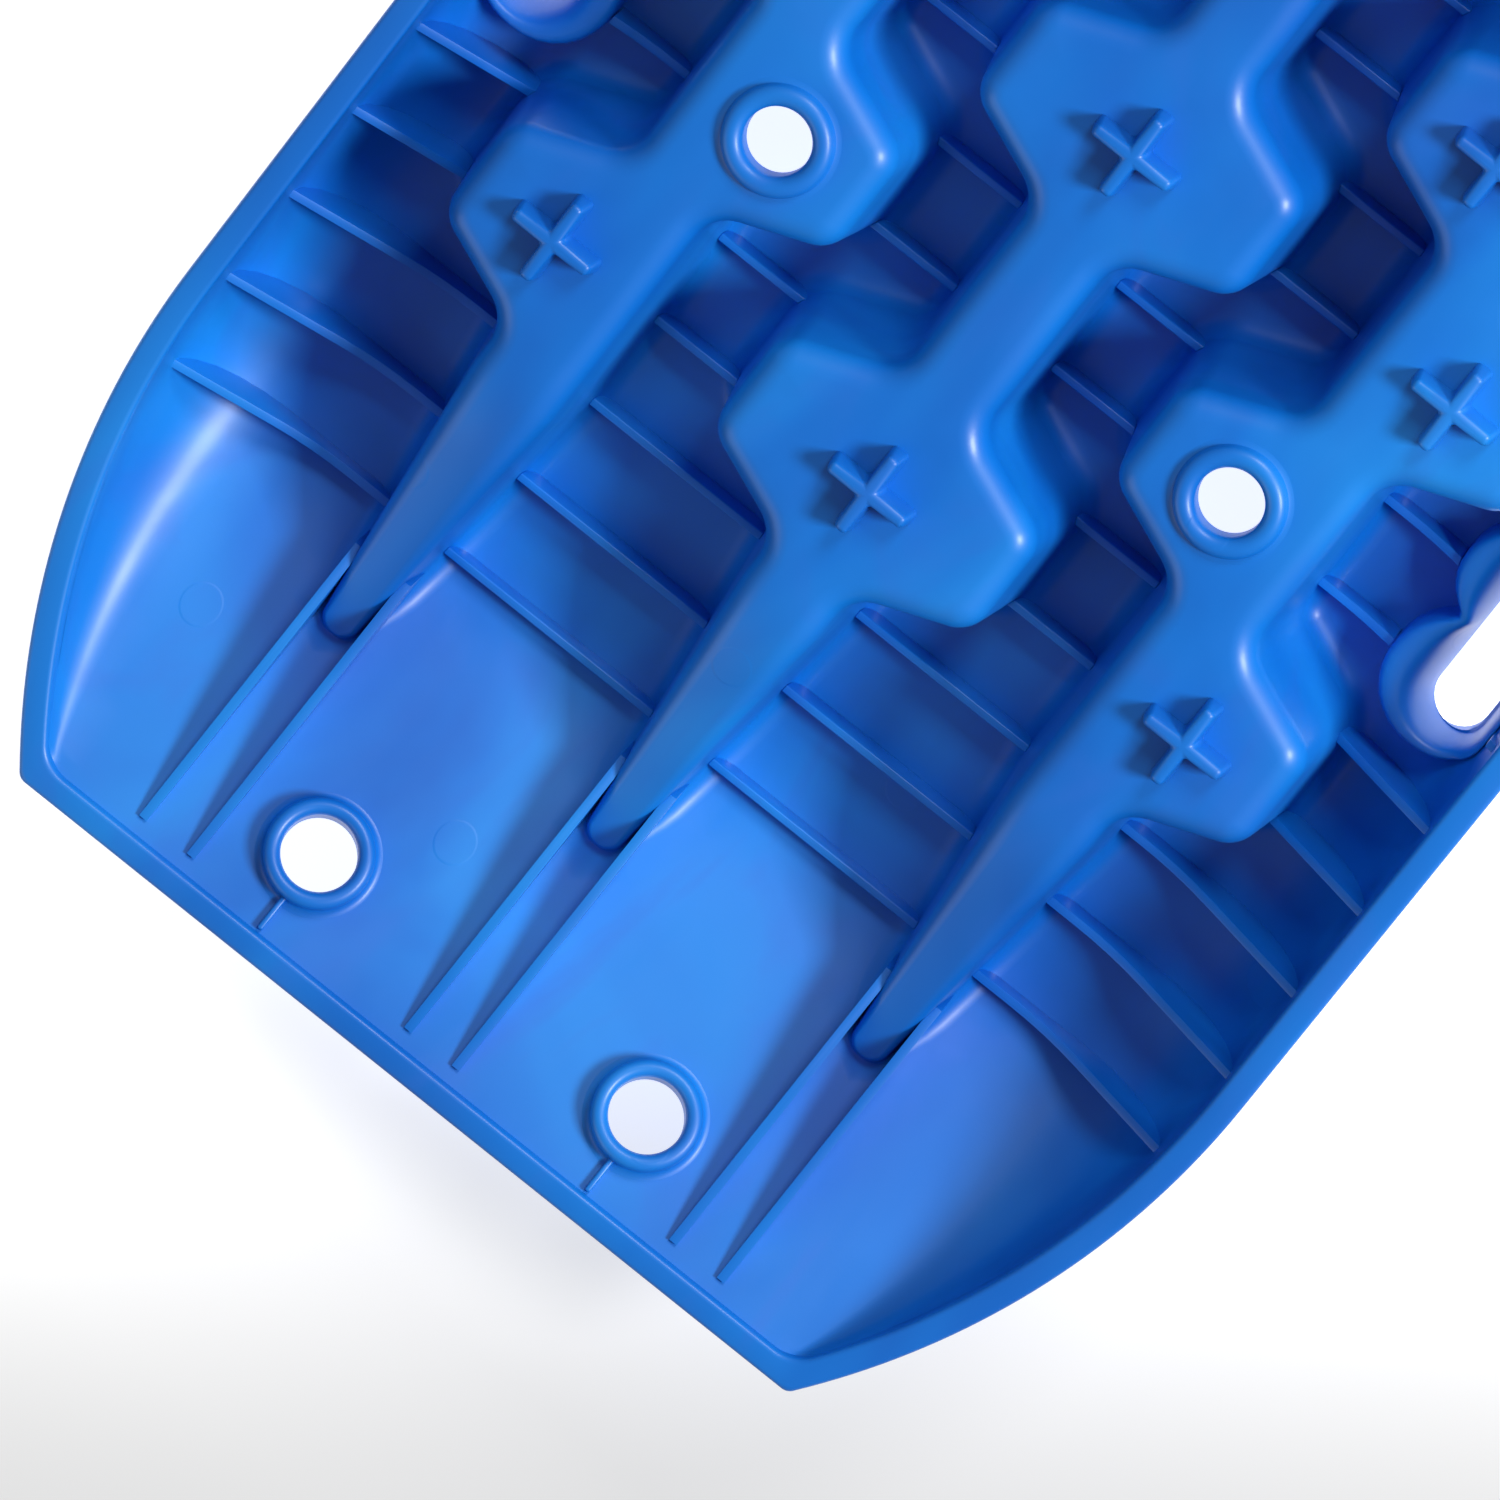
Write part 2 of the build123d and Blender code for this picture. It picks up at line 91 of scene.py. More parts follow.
# ---- Sizes of the moulding ------------------------------------------------------------------------
@dataclass(frozen=True)
class BoardSizes:
    """Sizes of the moulding in millimetres, as the frame has them."""

    length: float = 1066.0
    width: float = 306.0
    channel_depth: float = 46.0
    skin: float = 3.5
    stud_height: float = 8.0
    end_half_width: float = 113.0
    shoulder_radius: float = 206.0
    rim_width: float = 6.6
    rim_thickness: float = 5.0
    inner_corner: float = 10.0
    end_step: float = 2.5
    ramp_foot: float = 97.0
    foot_blend: float = 16.0
    cove_radius: float = 28.0
    cove_share: float = 0.62
    row_spacing: float = 78.0
    bar_half: float = 10.75
    lobe_reach: float = 37.5
    lobe_flat_half: float = 13.5
    lobe_root_half: float = 24.5
    lobe_pitch: float = 100.0
    first_lobe: float = 183.0
    wall_draft: float = 5.0
    convex_radius: float = 8.0
    concave_radius: float = 10.0
    tip_start: float = 68.0
    tip_half: float = 2.2
    tip_rise: float = 5.0
    taper_end: float = 145.0
    taper_blend: float = 40.0
    dive_end: float = 140.0
    dive_blend: float = 14.0
    feature_offset: float = 13.0
    boss_radius: float = 12.5
    eyelet_from_end: float = 27.0
    eyelet_half_spacing: float = 48.2
    eyelet_radius: float = 13.2
    slot_centre_from_end: float = 274.0
    slot_length: float = 126.0
    slot_outer_y: float = 141.0
    slot_width: float = 14.0

    @property
    def half_length(self) -> float:
        """Half of the board's length."""
        return self.length / 2

    @property
    def floor_z(self) -> float:
        """Height of the channel floors."""
        return self.stud_height + self.skin

    @property
    def deck_z(self) -> float:
        """Height of the row tops and of the rim."""
        return self.floor_z + self.channel_depth

    @property
    def side_x(self) -> float:
        """Where the ramps end and the level channels start."""
        return self.half_length - self.ramp_foot

    @property
    def ramp_slope(self) -> float:
        """Rise of the ramp over its run."""
        return (self.channel_depth - self.end_step) / (self.ramp_foot - self.rim_width)

    @property
    def lobe_xs(self) -> list[float]:
        """Places of the lobes along the board."""
        count = round((self.length - 2 * self.first_lobe) / self.lobe_pitch) + 1
        return [(i - (count - 1) / 2) * self.lobe_pitch for i in range(count)]

    @property
    def between_xs(self) -> list[float]:
        """Places half way between lobes."""
        return [x + self.lobe_pitch / 2 for x in self.lobe_xs[:-1]]

    def bare_floor(self, x: Points) -> Points:
        """Height of floor and ramps, without the coves.

        Args:
            x: Places along the board.

        Returns:
            Heights at those places.
        """
        past = np.abs(x) - self.side_x
        blend = self.foot_blend
        t = np.clip((past + blend) / (2 * blend), 0, 1)
        rise = np.where(past > blend, past, blend * t * t)
        return self.floor_z + self.ramp_slope * rise

    def wall_distance(self, x: Points, y: Points) -> Points:
        """Distance in plan from the side wall's inside face, not counting the end walls.

        Args:
            x: Places along the board.
            y: Places across it.

        Returns:
            Distances at those places.
        """
        rise = self.width / 2 - self.end_half_width
        run = math.sqrt(self.shoulder_radius**2 - (self.shoulder_radius - rise) ** 2)
        centre_x = self.half_length - run
        centre_y = self.width / 2 - self.shoulder_radius
        radius = self.shoulder_radius - self.rim_width
        beside = self.width / 2 - self.rim_width - np.abs(y)
        round_corner = radius - np.hypot(np.abs(x) - centre_x, np.abs(y) - centre_y)
        return np.where(np.abs(x) > centre_x, round_corner, beside)

    def cove_at(self, x: Points) -> Points:
        """Radius of the cove between wall and floor, which shrinks up the ramps.

        Args:
            x: Places along the board.

        Returns:
            Radii at those places.
        """
        depth = self.deck_z - self.bare_floor(x)
        return np.clip(self.cove_share * depth, 1.5, self.cove_radius)

    def floor(self, x: Points, y: Points) -> Points:
        """Height of the open face of the floor, ramps and coves.

        Args:
            x: Places along the board.
            y: Places across it.

        Returns:
            Heights at those places.
        """
        radius = self.cove_at(x)
        short = np.clip(radius - self.wall_distance(x, y), 0, radius)
        return self.bare_floor(x) + radius - np.sqrt(np.maximum(radius**2 - short**2, 0))

    def under_floor(self, x: Points, y: Points) -> Points:
        """Height of the underside of the level channels and their coves.

        Args:
            x: Places along the board.
            y: Places across it.

        Returns:
            Heights at those places.
        """
        radius = self.cove_radius + self.skin
        short = np.clip(self.cove_radius - self.wall_distance(x, y), 0, radius)
        return self.stud_height + radius - np.sqrt(np.maximum(radius**2 - short**2, 0))

    def row_top(self, x: Points) -> Points:
        """Height of a row's top, which dives towards its tips.

        Args:
            x: Places along the board.

        Returns:
            Heights at those places.
        """
        drop = self.end_step + (self.tip_start - self.rim_width) * self.ramp_slope - self.tip_rise
        slope = drop / (self.dive_end - self.tip_start)
        past = np.abs(x) - (self.half_length - self.dive_end)
        blend = self.dive_blend
        t = np.clip((past + blend) / (2 * blend), 0, 1)
        return self.deck_z - slope * np.where(past > blend, past, blend * t * t)


# ---- Outlines -------------------------------------------------------------------------------------
@dataclass
class Loop:
    """A closed outline walked anticlockwise: points and outward normals, in plan."""

    points: Points
    normals: Points

    def offset(self, amount: Points) -> Points:
        """Points moved outwards by an amount for each of them.

        Args:
            amount: One distance, or one for each point.

        Returns:
            The moved points.
        """
        return self.points + self.normals * np.asarray(amount).reshape(-1, 1)


def arc_steps(radius: float, turn: float) -> int:
    """Number of chords for an arc, fine enough to look round.

    Args:
        radius: The arc's radius.
        turn: The angle that it turns through, in radians.

    Returns:
        The number.
    """
    return max(3, math.ceil(abs(turn) / ARC_TURN), math.ceil(abs(turn) * radius / ARC_CHORD))


def rounded_loop(corners: Sequence[tuple[float, float, float]], step: float) -> Loop:
    """Walks a polygon with rounded corners.

    Args:
        corners: Corner points in anticlockwise order, each with its rounding radius.
        step: Longest distance between points on a straight.

    Returns:
        The sampled outline.
    """
    points: list[Vector] = []
    normals: list[Vector] = []
    spots = [Vector(c[:2]) for c in corners]
    count = len(spots)
    arcs = []
    for i in range(count):
        before, here, after = spots[i - 1], spots[i], spots[(i + 1) % count]
        a, b = (here - before).normalized(), (after - here).normalized()
        turn = math.atan2(a.x * b.y - a.y * b.x, a.dot(b))
        reach = corners[i][2] * math.tan(abs(turn) / 2)
        sign = math.copysign(1, turn)
        start = here - a * reach
        centre = start + Vector((-a.y, a.x)) * corners[i][2] * sign
        arcs.append((start, here + b * reach, centre, turn, sign, corners[i][2], a))
    for i, (start, end, centre, turn, sign, radius, heading) in enumerate(arcs):
        steps = arc_steps(radius, turn)
        first = Vector((heading.y, -heading.x))
        for k in range(steps + 1):
            c, s = math.cos(turn * k / steps), math.sin(turn * k / steps)
            normal = Vector((first.x * c - first.y * s, first.x * s + first.y * c))
            points.append(centre + normal * radius * sign)
            normals.append(normal)
        following = arcs[(i + 1) % count][0]
        run = (following - end).length
        parts = max(1, math.ceil(run / step))
        for k in range(1, parts):
            points.append(end.lerp(following, k / parts))
            normals.append(normals[-1].copy())
    return Loop(np.array([p[:] for p in points]), np.array([n[:] for n in normals]))


def board_loop(sizes: BoardSizes, inset: float, corner: float, step: float) -> Loop:
    """Walks the board's plan outline, moved in by inset.

    Args:
        sizes: The board.
        inset: Distance inside the board's edge.
        corner: Rounding of the four corners at the end edges.
        step: Longest distance between points.

    Returns:
        The sampled outline.
    """
    rise = sizes.width / 2 - sizes.end_half_width
    run = math.sqrt(sizes.shoulder_radius**2 - (sizes.shoulder_radius - rise) ** 2)
    cx, cy = sizes.half_length - run, sizes.width / 2 - sizes.shoulder_radius
    radius = sizes.shoulder_radius - inset
    end_x, side_y = sizes.half_length - inset, sizes.width / 2 - inset
    fx = end_x - corner
    fy = cy + math.sqrt((radius - corner) ** 2 - (fx - cx) ** 2)
    lift = math.atan2(fy - cy, fx - cx)
    points: list[tuple[float, float]] = []
    normals: list[tuple[float, float]] = []
    parts = math.ceil(sizes.end_half_width / step)
    for k in range(parts):
        points.append((end_x, fy * k / parts))
        normals.append((1.0, 0.0))
    for k in range(CORNER_STEPS):
        angle = lift * k / CORNER_STEPS
        points.append((fx + corner * math.cos(angle), fy + corner * math.sin(angle)))
        normals.append((math.cos(angle), math.sin(angle)))
    parts = math.ceil(sizes.shoulder_radius / step)
    for k in range(parts):
        angle = lift + (math.pi / 2 - lift) * k / parts
        points.append((cx + radius * math.cos(angle), cy + radius * math.sin(angle)))
        normals.append((math.cos(angle), math.sin(angle)))
    parts = math.ceil(cx / step)
    for k in range(parts + 1):
        points.append((cx * (1 - k / parts), side_y))
        normals.append((0.0, 1.0))
    quarter, facing = np.array(points), np.array(normals)
    walked, outward = [], []
    for sx, sy, backwards in ((1, 1, False), (-1, 1, True), (-1, -1, False), (1, -1, True)):
        q, f = quarter * (sx, sy), facing * (sx, sy)
        if backwards:
            q, f = q[::-1], f[::-1]
        walked.append(q[:-1])
        outward.append(f[:-1])
    return Loop(np.vstack(walked), np.vstack(outward))


# ---- Mesh helpers ---------------------------------------------------------------------------------
def deselect() -> None:
    """Deselects everything, so that an operator acts on the new piece only."""
    for other in bpy.context.selected_objects:
        other.select_set(False)


def activate(piece: bpy.types.Object) -> None:
    """Makes a piece the only selected and the active object.

    Args:
        piece: The piece.
    """
    deselect()
    piece.select_set(True)
    bpy.context.view_layer.objects.active = piece


def new_piece(
    name: str, verts: Iterable[Sequence[float]], faces: Iterable[Sequence[int]]
) -> bpy.types.Object:
    """Makes an object from points in millimetres.

    Args:
        name: The piece's name.
        verts: Points in millimetres.
        faces: Corner numbers of each face.

    Returns:
        The new object, linked to the scene.
    """
    mesh = bpy.data.meshes.new(name)
    mesh.from_pydata([(x * MM, y * MM, z * MM) for x, y, z in verts], [], [tuple(f) for f in faces])
    mesh.update()
    piece = bpy.data.objects.new(name, mesh)
    bpy.context.collection.objects.link(piece)
    return piece


def apply_modifier(piece: bpy.types.Object, kind: str, **settings: object) -> None:
    """Adds a modifier to a piece and applies it.

    Args:
        piece: The piece.
        kind: The modifier's Blender type.
        **settings: Its settings.
    """
    activate(piece)
    modifier = piece.modifiers.new(kind.title(), kind)
    for key, value in settings.items():
        setattr(modifier, key, value)
    bpy.ops.object.modifier_apply(modifier=modifier.name)


def smooth(piece: bpy.types.Object, angle: float = 38.0) -> None:
    """Shades a piece smooth, with hard edges where its faces meet at more than an angle.

    Args:
        piece: The piece.
        angle: That angle in degrees.
    """
    activate(piece)
    bpy.ops.object.shade_smooth_by_angle(angle=math.radians(angle))


def edit(piece: bpy.types.Object, *steps: Callable[[], object]) -> None:
    """Runs mesh operators on all of a piece in edit mode.

    Args:
        piece: The piece.
        *steps: Calls to make, in order.
    """
    activate(piece)
    bpy.ops.object.mode_set(mode="EDIT")
    bpy.ops.mesh.select_all(action="SELECT")
    for run in steps:
        run()
    bpy.ops.object.mode_set(mode="OBJECT")


def triangulate(
    boundaries: Sequence[Points], loose: Points, keep: Callable[[Points, Points], Points]
) -> tuple[Points, list[list[int]]]:
    """Fills a flat region with triangles.

    Args:
        boundaries: Closed loops that the triangles have to follow.
        loose: Extra points inside the region.
        keep: Says, from the x and y of the triangles' middles, which ones to keep.

    Returns:
        The points and the triangles.
    """
    edges: list[tuple[int, int]] = []
    start = 0
    for loop in boundaries:
        count = len(loop)
        edges += [(start + i, start + (i + 1) % count) for i in range(count)]
        start += count
    every = np.vstack([*boundaries, loose]) if len(loose) else np.vstack(boundaries)
    made = geometry.delaunay_2d_cdt([Vector(p) for p in every], edges, [], 0, 1e-4)
    points = np.array([v[:] for v in made[0]])
    faces = [list(f) for f in made[2]]
    middles = np.array([points[f].mean(axis=0) for f in faces])
    wanted = keep(middles[:, 0], middles[:, 1])
    kept = []
    for face, good in zip(faces, wanted):
        if good:
            a, b, c = points[face[0]], points[face[1]], points[face[2]]
            ahead = (b[0] - a[0]) * (c[1] - a[1]) - (b[1] - a[1]) * (c[0] - a[0])
            kept.append(face if ahead > 0 else face[::-1])
    return points, kept


def inside(loop: Points, x: Points, y: Points) -> Points:
    """Tells which points lie inside a closed loop.

    Args:
        loop: The loop's points.
        x: First coordinate of each point.
        y: Second coordinate of each point.

    Returns:
        True for each point inside.
    """
    found = np.zeros(len(x), dtype=bool)
    ends = np.roll(loop, -1, axis=0)
    for (x0, y0), (x1, y1) in zip(loop, ends):
        crosses = (y0 > y) != (y1 > y)
        if crosses.any():
            at = (x1 - x0) * (y - y0) / ((y1 - y0) or 1e-9) + x0
            found ^= crosses & (x < at)
    return found


def clear_of(points: Points, loops: Sequence[Points], gap: float) -> Points:
    """Keeps the points that stand at least a gap away from every loop's points.

    Args:
        points: The points to choose from.
        loops: The loops.
        gap: Least distance.

    Returns:
        The points that are kept.
    """
    keep = np.ones(len(points), dtype=bool)
    for loop in loops:
        for at in range(0, len(points), BLOCK):
            block = points[at : at + BLOCK]
            distance = np.min(np.linalg.norm(block[:, None, :] - loop[None, :, :], axis=2), axis=1)
            keep[at : at + BLOCK] &= distance > gap
    return points[keep]


def ring_faces(rings: int, count: int) -> list[tuple[int, int, int, int]]:
    """Quads between closed rings of points that are stored one after another.

    Args:
        rings: Number of rings.
        count: Number of points in each.

    Returns:
        The corner numbers of the quads.
    """
    faces = []
    for r in range(rings - 1):
        for i in range(count):
            j = (i + 1) % count
            faces.append((r * count + i, r * count + j, (r + 1) * count + j, (r + 1) * count + i))
    return faces


# ---- Materials ------------------------------------------------------------------------------------
Colour = tuple[float, float, float, float]


def feed(tree: bpy.types.NodeTree, node: bpy.types.Node, inputs: dict) -> None:
    """Sets or links a node's inputs.

    Args:
        tree: The node tree that the node is in.
        node: The node.
        inputs: A number, a colour or another node's output for each input, by its name or number.
    """
    for socket, value in inputs.items():
        if isinstance(value, bpy.types.NodeSocket):
            tree.links.new(value, node.inputs[socket])
        else:
            node.inputs[socket].default_value = value


def add_node(tree: bpy.types.NodeTree, kind: str, inputs: dict, **settings: str) -> bpy.types.Node:
    """Adds a node to a tree.

    Args:
        tree: The node tree.
        kind: The node's Blender type.
        inputs: What feed takes.
        **settings: Options of the node, set before its inputs.

    Returns:
        The node.
    """
    node = tree.nodes.new(kind)
    for key, value in settings.items():
        setattr(node, key, value)
    feed(tree, node, inputs)
    return node


@dataclass(frozen=True)
class NylonFinish:
    """Filled nylon in one colour, with flow marks, a satin skin and faint ejector-pin circles."""

    name: str = "blue_nylon"
    deep: Colour = (0.0006, 0.108, 0.500, 1.0)
    body: Colour = (0.0018, 0.162, 0.620, 1.0)
    pale: Colour = (0.0080, 0.240, 0.740, 1.0)
    violet: Colour = (0.0150, 0.132, 0.590, 1.0)
    roughness: tuple[float, float] = (0.36, 0.47)
    grain: float = 0.035
    pin_pitch: float = 0.085
    pin_radius: float = 0.0048
    pin_edge: float = 0.0003

    def build(self) -> bpy.types.Material:
        """Makes the node tree.

        Returns:
            The material.
        """
        made = bpy.data.materials.new(self.name)
        made.use_nodes = True
        tree = made.node_tree
        place = tree.nodes.new("ShaderNodeTexCoord").outputs["Object"]
        stretch = add_node(tree, "ShaderNodeMapping", {"Vector": place, "Scale": (0.45, 1.0, 1.0)})
        drawn = stretch.outputs["Vector"]

        clouds = add_node(
            tree, "ShaderNodeTexNoise", {"Vector": drawn, "Scale": 13.0, "Detail": 3.0, "Distortion": 0.8}
        )
        ramp = add_node(tree, "ShaderNodeValToRGB", {"Fac": clouds.outputs["Fac"]})
        low, high = ramp.color_ramp.elements
        low.position, low.color = 0.30, self.deep
        high.position, high.color = 0.74, self.pale
        ramp.color_ramp.elements.new(0.52).color = self.body

        flow = add_node(
            tree, "ShaderNodeTexNoise", {"Vector": drawn, "Scale": 26.0, "Detail": 4.0, "Distortion": 1.6}
        ).outputs["Fac"]
        amount = add_node(
            tree, "ShaderNodeMapRange", {"Value": flow, "From Min": 0.52, "From Max": 0.78, "To Max": 0.55}
        )
        colours = {"Factor": amount.outputs["Result"], "A": ramp.outputs["Color"], "B": self.violet}
        mix = add_node(tree, "ShaderNodeMix", colours, data_type="RGBA")

        rough, rougher = self.roughness
        limits = {"From Min": 0.3, "From Max": 0.7, "To Min": rough, "To Max": rougher}
        sheen = add_node(tree, "ShaderNodeMapRange", {"Value": flow, **limits})

        grain = add_node(tree, "ShaderNodeTexNoise", {"Vector": place, "Scale": 1500.0, "Detail": 2.0})
        spread = {"Vector": place, "Scale": 1 / self.pin_pitch, "Randomness": 0.55}
        pins = add_node(tree, "ShaderNodeTexVoronoi", spread, voronoi_dimensions="2D")
        edge = {
            "Value": pins.outputs["Distance"],
            "From Min": (self.pin_radius + self.pin_edge) / self.pin_pitch,
            "From Max": (self.pin_radius - self.pin_edge) / self.pin_pitch,
        }
        ring = add_node(tree, "ShaderNodeMapRange", edge, interpolation_type="SMOOTHSTEP")
        pressed = {"Strength": 0.16, "Distance": 0.0003, "Height": ring.outputs["Result"]}
        pin_bump = add_node(tree, "ShaderNodeBump", pressed).outputs["Normal"]
        rubbed = {"Strength": self.grain, "Distance": 0.0002, "Height": grain.outputs["Fac"]}
        bump = add_node(tree, "ShaderNodeBump", {"Normal": pin_bump, **rubbed})

        feed(tree, tree.nodes["Principled BSDF"], {
            "Base Color": mix.outputs["Result"],
            "Roughness": sheen.outputs["Result"],
            "Normal": bump.outputs["Normal"],
            "IOR": 1.5,
            "Coat Weight": 0.12,
            "Coat Roughness": 0.22,
        })
        return made


@dataclass(frozen=True)
class FloorFinish:
    """Pale studio floor with painted light: it glows, so that it stays white under the board where shade
    falls, and painted shade greys its glow and base colour towards the near end's right side.
    """

    colour: Colour = (1.0, 1.0, 1.0, 1.0)
    # Painted light: glow strength of the floor, first away from the painted shade, then inside it.
    painted_glow: tuple[float, float] = (0.86, 0.46)
    # Base colour of the floor, pale away from the painted shade and grey inside it.
    base: tuple[float, float] = (0.93, 0.30)
    # Painted shade: the way across the floor along which glow and base colour fall, towards the near end's
    # right side, and the band in metres where they fall.
    painted_shade_way: tuple[float, float, float] = (-0.785, -0.62, 0.0)
    painted_shade: tuple[float, float] = (0.34, 0.55)

    def build(self) -> bpy.types.Material:
        """Makes the node tree.

        Returns:
            The material.
        """
        made = bpy.data.materials.new("studio_floor")
        made.use_nodes = True
        tree = made.node_tree
        shader = tree.nodes["Principled BSDF"]
        place = tree.nodes.new("ShaderNodeTexCoord").outputs["Object"]
        ways = {0: place, 1: self.painted_shade_way}
        along = add_node(tree, "ShaderNodeVectorMath", ways, operation="DOT_PRODUCT")
        start, end = self.painted_shade
        # Painted shade: glow strength and base colour fall from their first to their second value across the
        # band.
        for socket, (unshaded_value, painted_shade_value) in (("Emission Strength", self.painted_glow), ("Base Color", self.base)):
            limits = {"From Min": start, "From Max": end, "To Min": unshaded_value, "To Max": painted_shade_value}
            painted_shade = add_node(
                tree,
                "ShaderNodeMapRange",
                {"Value": along.outputs["Value"], **limits},
                interpolation_type="SMOOTHSTEP",
            )
            feed(tree, shader, {socket: painted_shade.outputs["Result"]})
        feed(tree, shader, {"Roughness": 0.8, "Emission Color": self.colour})
        return made


# ---- The relief: rows, channels and ramps -----------------------------------------------------------
@dataclass
class Row:
    """One zigzag row: where it runs and where its lobes stand."""

    node: str
    y: float
    upper: Sequence[float]
    lower: Sequence[float]
    sizes: BoardSizes
    top_rounding: float = 6.0
    base_rounding: float = 5.0

    def outline(self) -> Loop:
        """Plan outline at the row's top, before the draft widens it."""
        s = self.sizes
        tip_x, taper_x = s.half_length - s.tip_start, s.half_length - s.taper_end
        tip_round = 0.95 * s.tip_half

        def side(centres: Sequence[float]) -> list[tuple[float, float, float]]:
            corners = [(-tip_x, s.tip_half, tip_round), (-taper_x, s.bar_half, s.taper_blend)]
            for x in centres:
                corners.append((x - s.lobe_root_half, s.bar_half, s.concave_radius))
                corners.append((x - s.lobe_flat_half, s.lobe_reach, s.convex_radius))
                corners.append((x + s.lobe_flat_half, s.lobe_reach, s.convex_radius))
                corners.append((x + s.lobe_root_half, s.bar_half, s.concave_radius))
            return corners + [(taper_x, s.bar_half, s.taper_blend), (tip_x, s.tip_half, tip_round)]

        low = [(x, -y, r) for x, y, r in side(self.lower)]
        loop = rounded_loop(low + side(self.upper)[::-1], step=4.0)
        loop.points = loop.points + np.array([0.0, self.y])
        return loop

    def rings(self) -> list[Points]:
        """Rings of points from the edge of the row's flat top down to the floor."""
        s = self.sizes
        loop = self.outline()
        x, y = loop.points[:, 0], loop.points[:, 1]
        lean = math.tan(math.radians(s.wall_draft))
        half = np.interp(
            np.abs(x), [s.half_length - s.taper_end, s.half_length - s.tip_start], [s.bar_half, s.tip_half]
        )
        top = s.row_top(x)
        foot, edge = s.floor(x, y), top
        base = np.full(len(x), self.base_rounding)
        for _ in range(3):
            base = np.minimum(self.base_rounding, 0.35 * (edge - foot))
            out = loop.offset((s.deck_z - foot) * lean + base)
            foot, edge = s.floor(out[:, 0], out[:, 1]), s.row_top(out[:, 0])
        crown = np.minimum(np.minimum(self.top_rounding, 0.56 * half), 0.45 * (edge - foot))
        rings = []
        for angle in np.radians(np.linspace(0, 90, 7)):
            depth = crown * (1 - math.cos(angle))
            at = loop.offset((s.deck_z - top + depth) * lean - crown * (1 - math.sin(angle)))
            rings.append(np.column_stack([at, s.row_top(at[:, 0]) - depth]))
        upper, lower = rings[-1][:, 2], foot + base
        for share in (0.33, 0.67):
            z = upper + (lower - upper) * share
            rings.append(np.column_stack([loop.offset((s.deck_z - z) * lean), z]))
        for angle in np.radians(np.linspace(0, 90, 6)):
            z = foot + base * (1 - math.sin(angle))
            at = loop.offset((s.deck_z - z) * lean + base * (1 - math.cos(angle)))
            if angle > math.radians(89):
                z = s.floor(at[:, 0], at[:, 1])
            rings.append(np.column_stack([at, z]))
        return rings


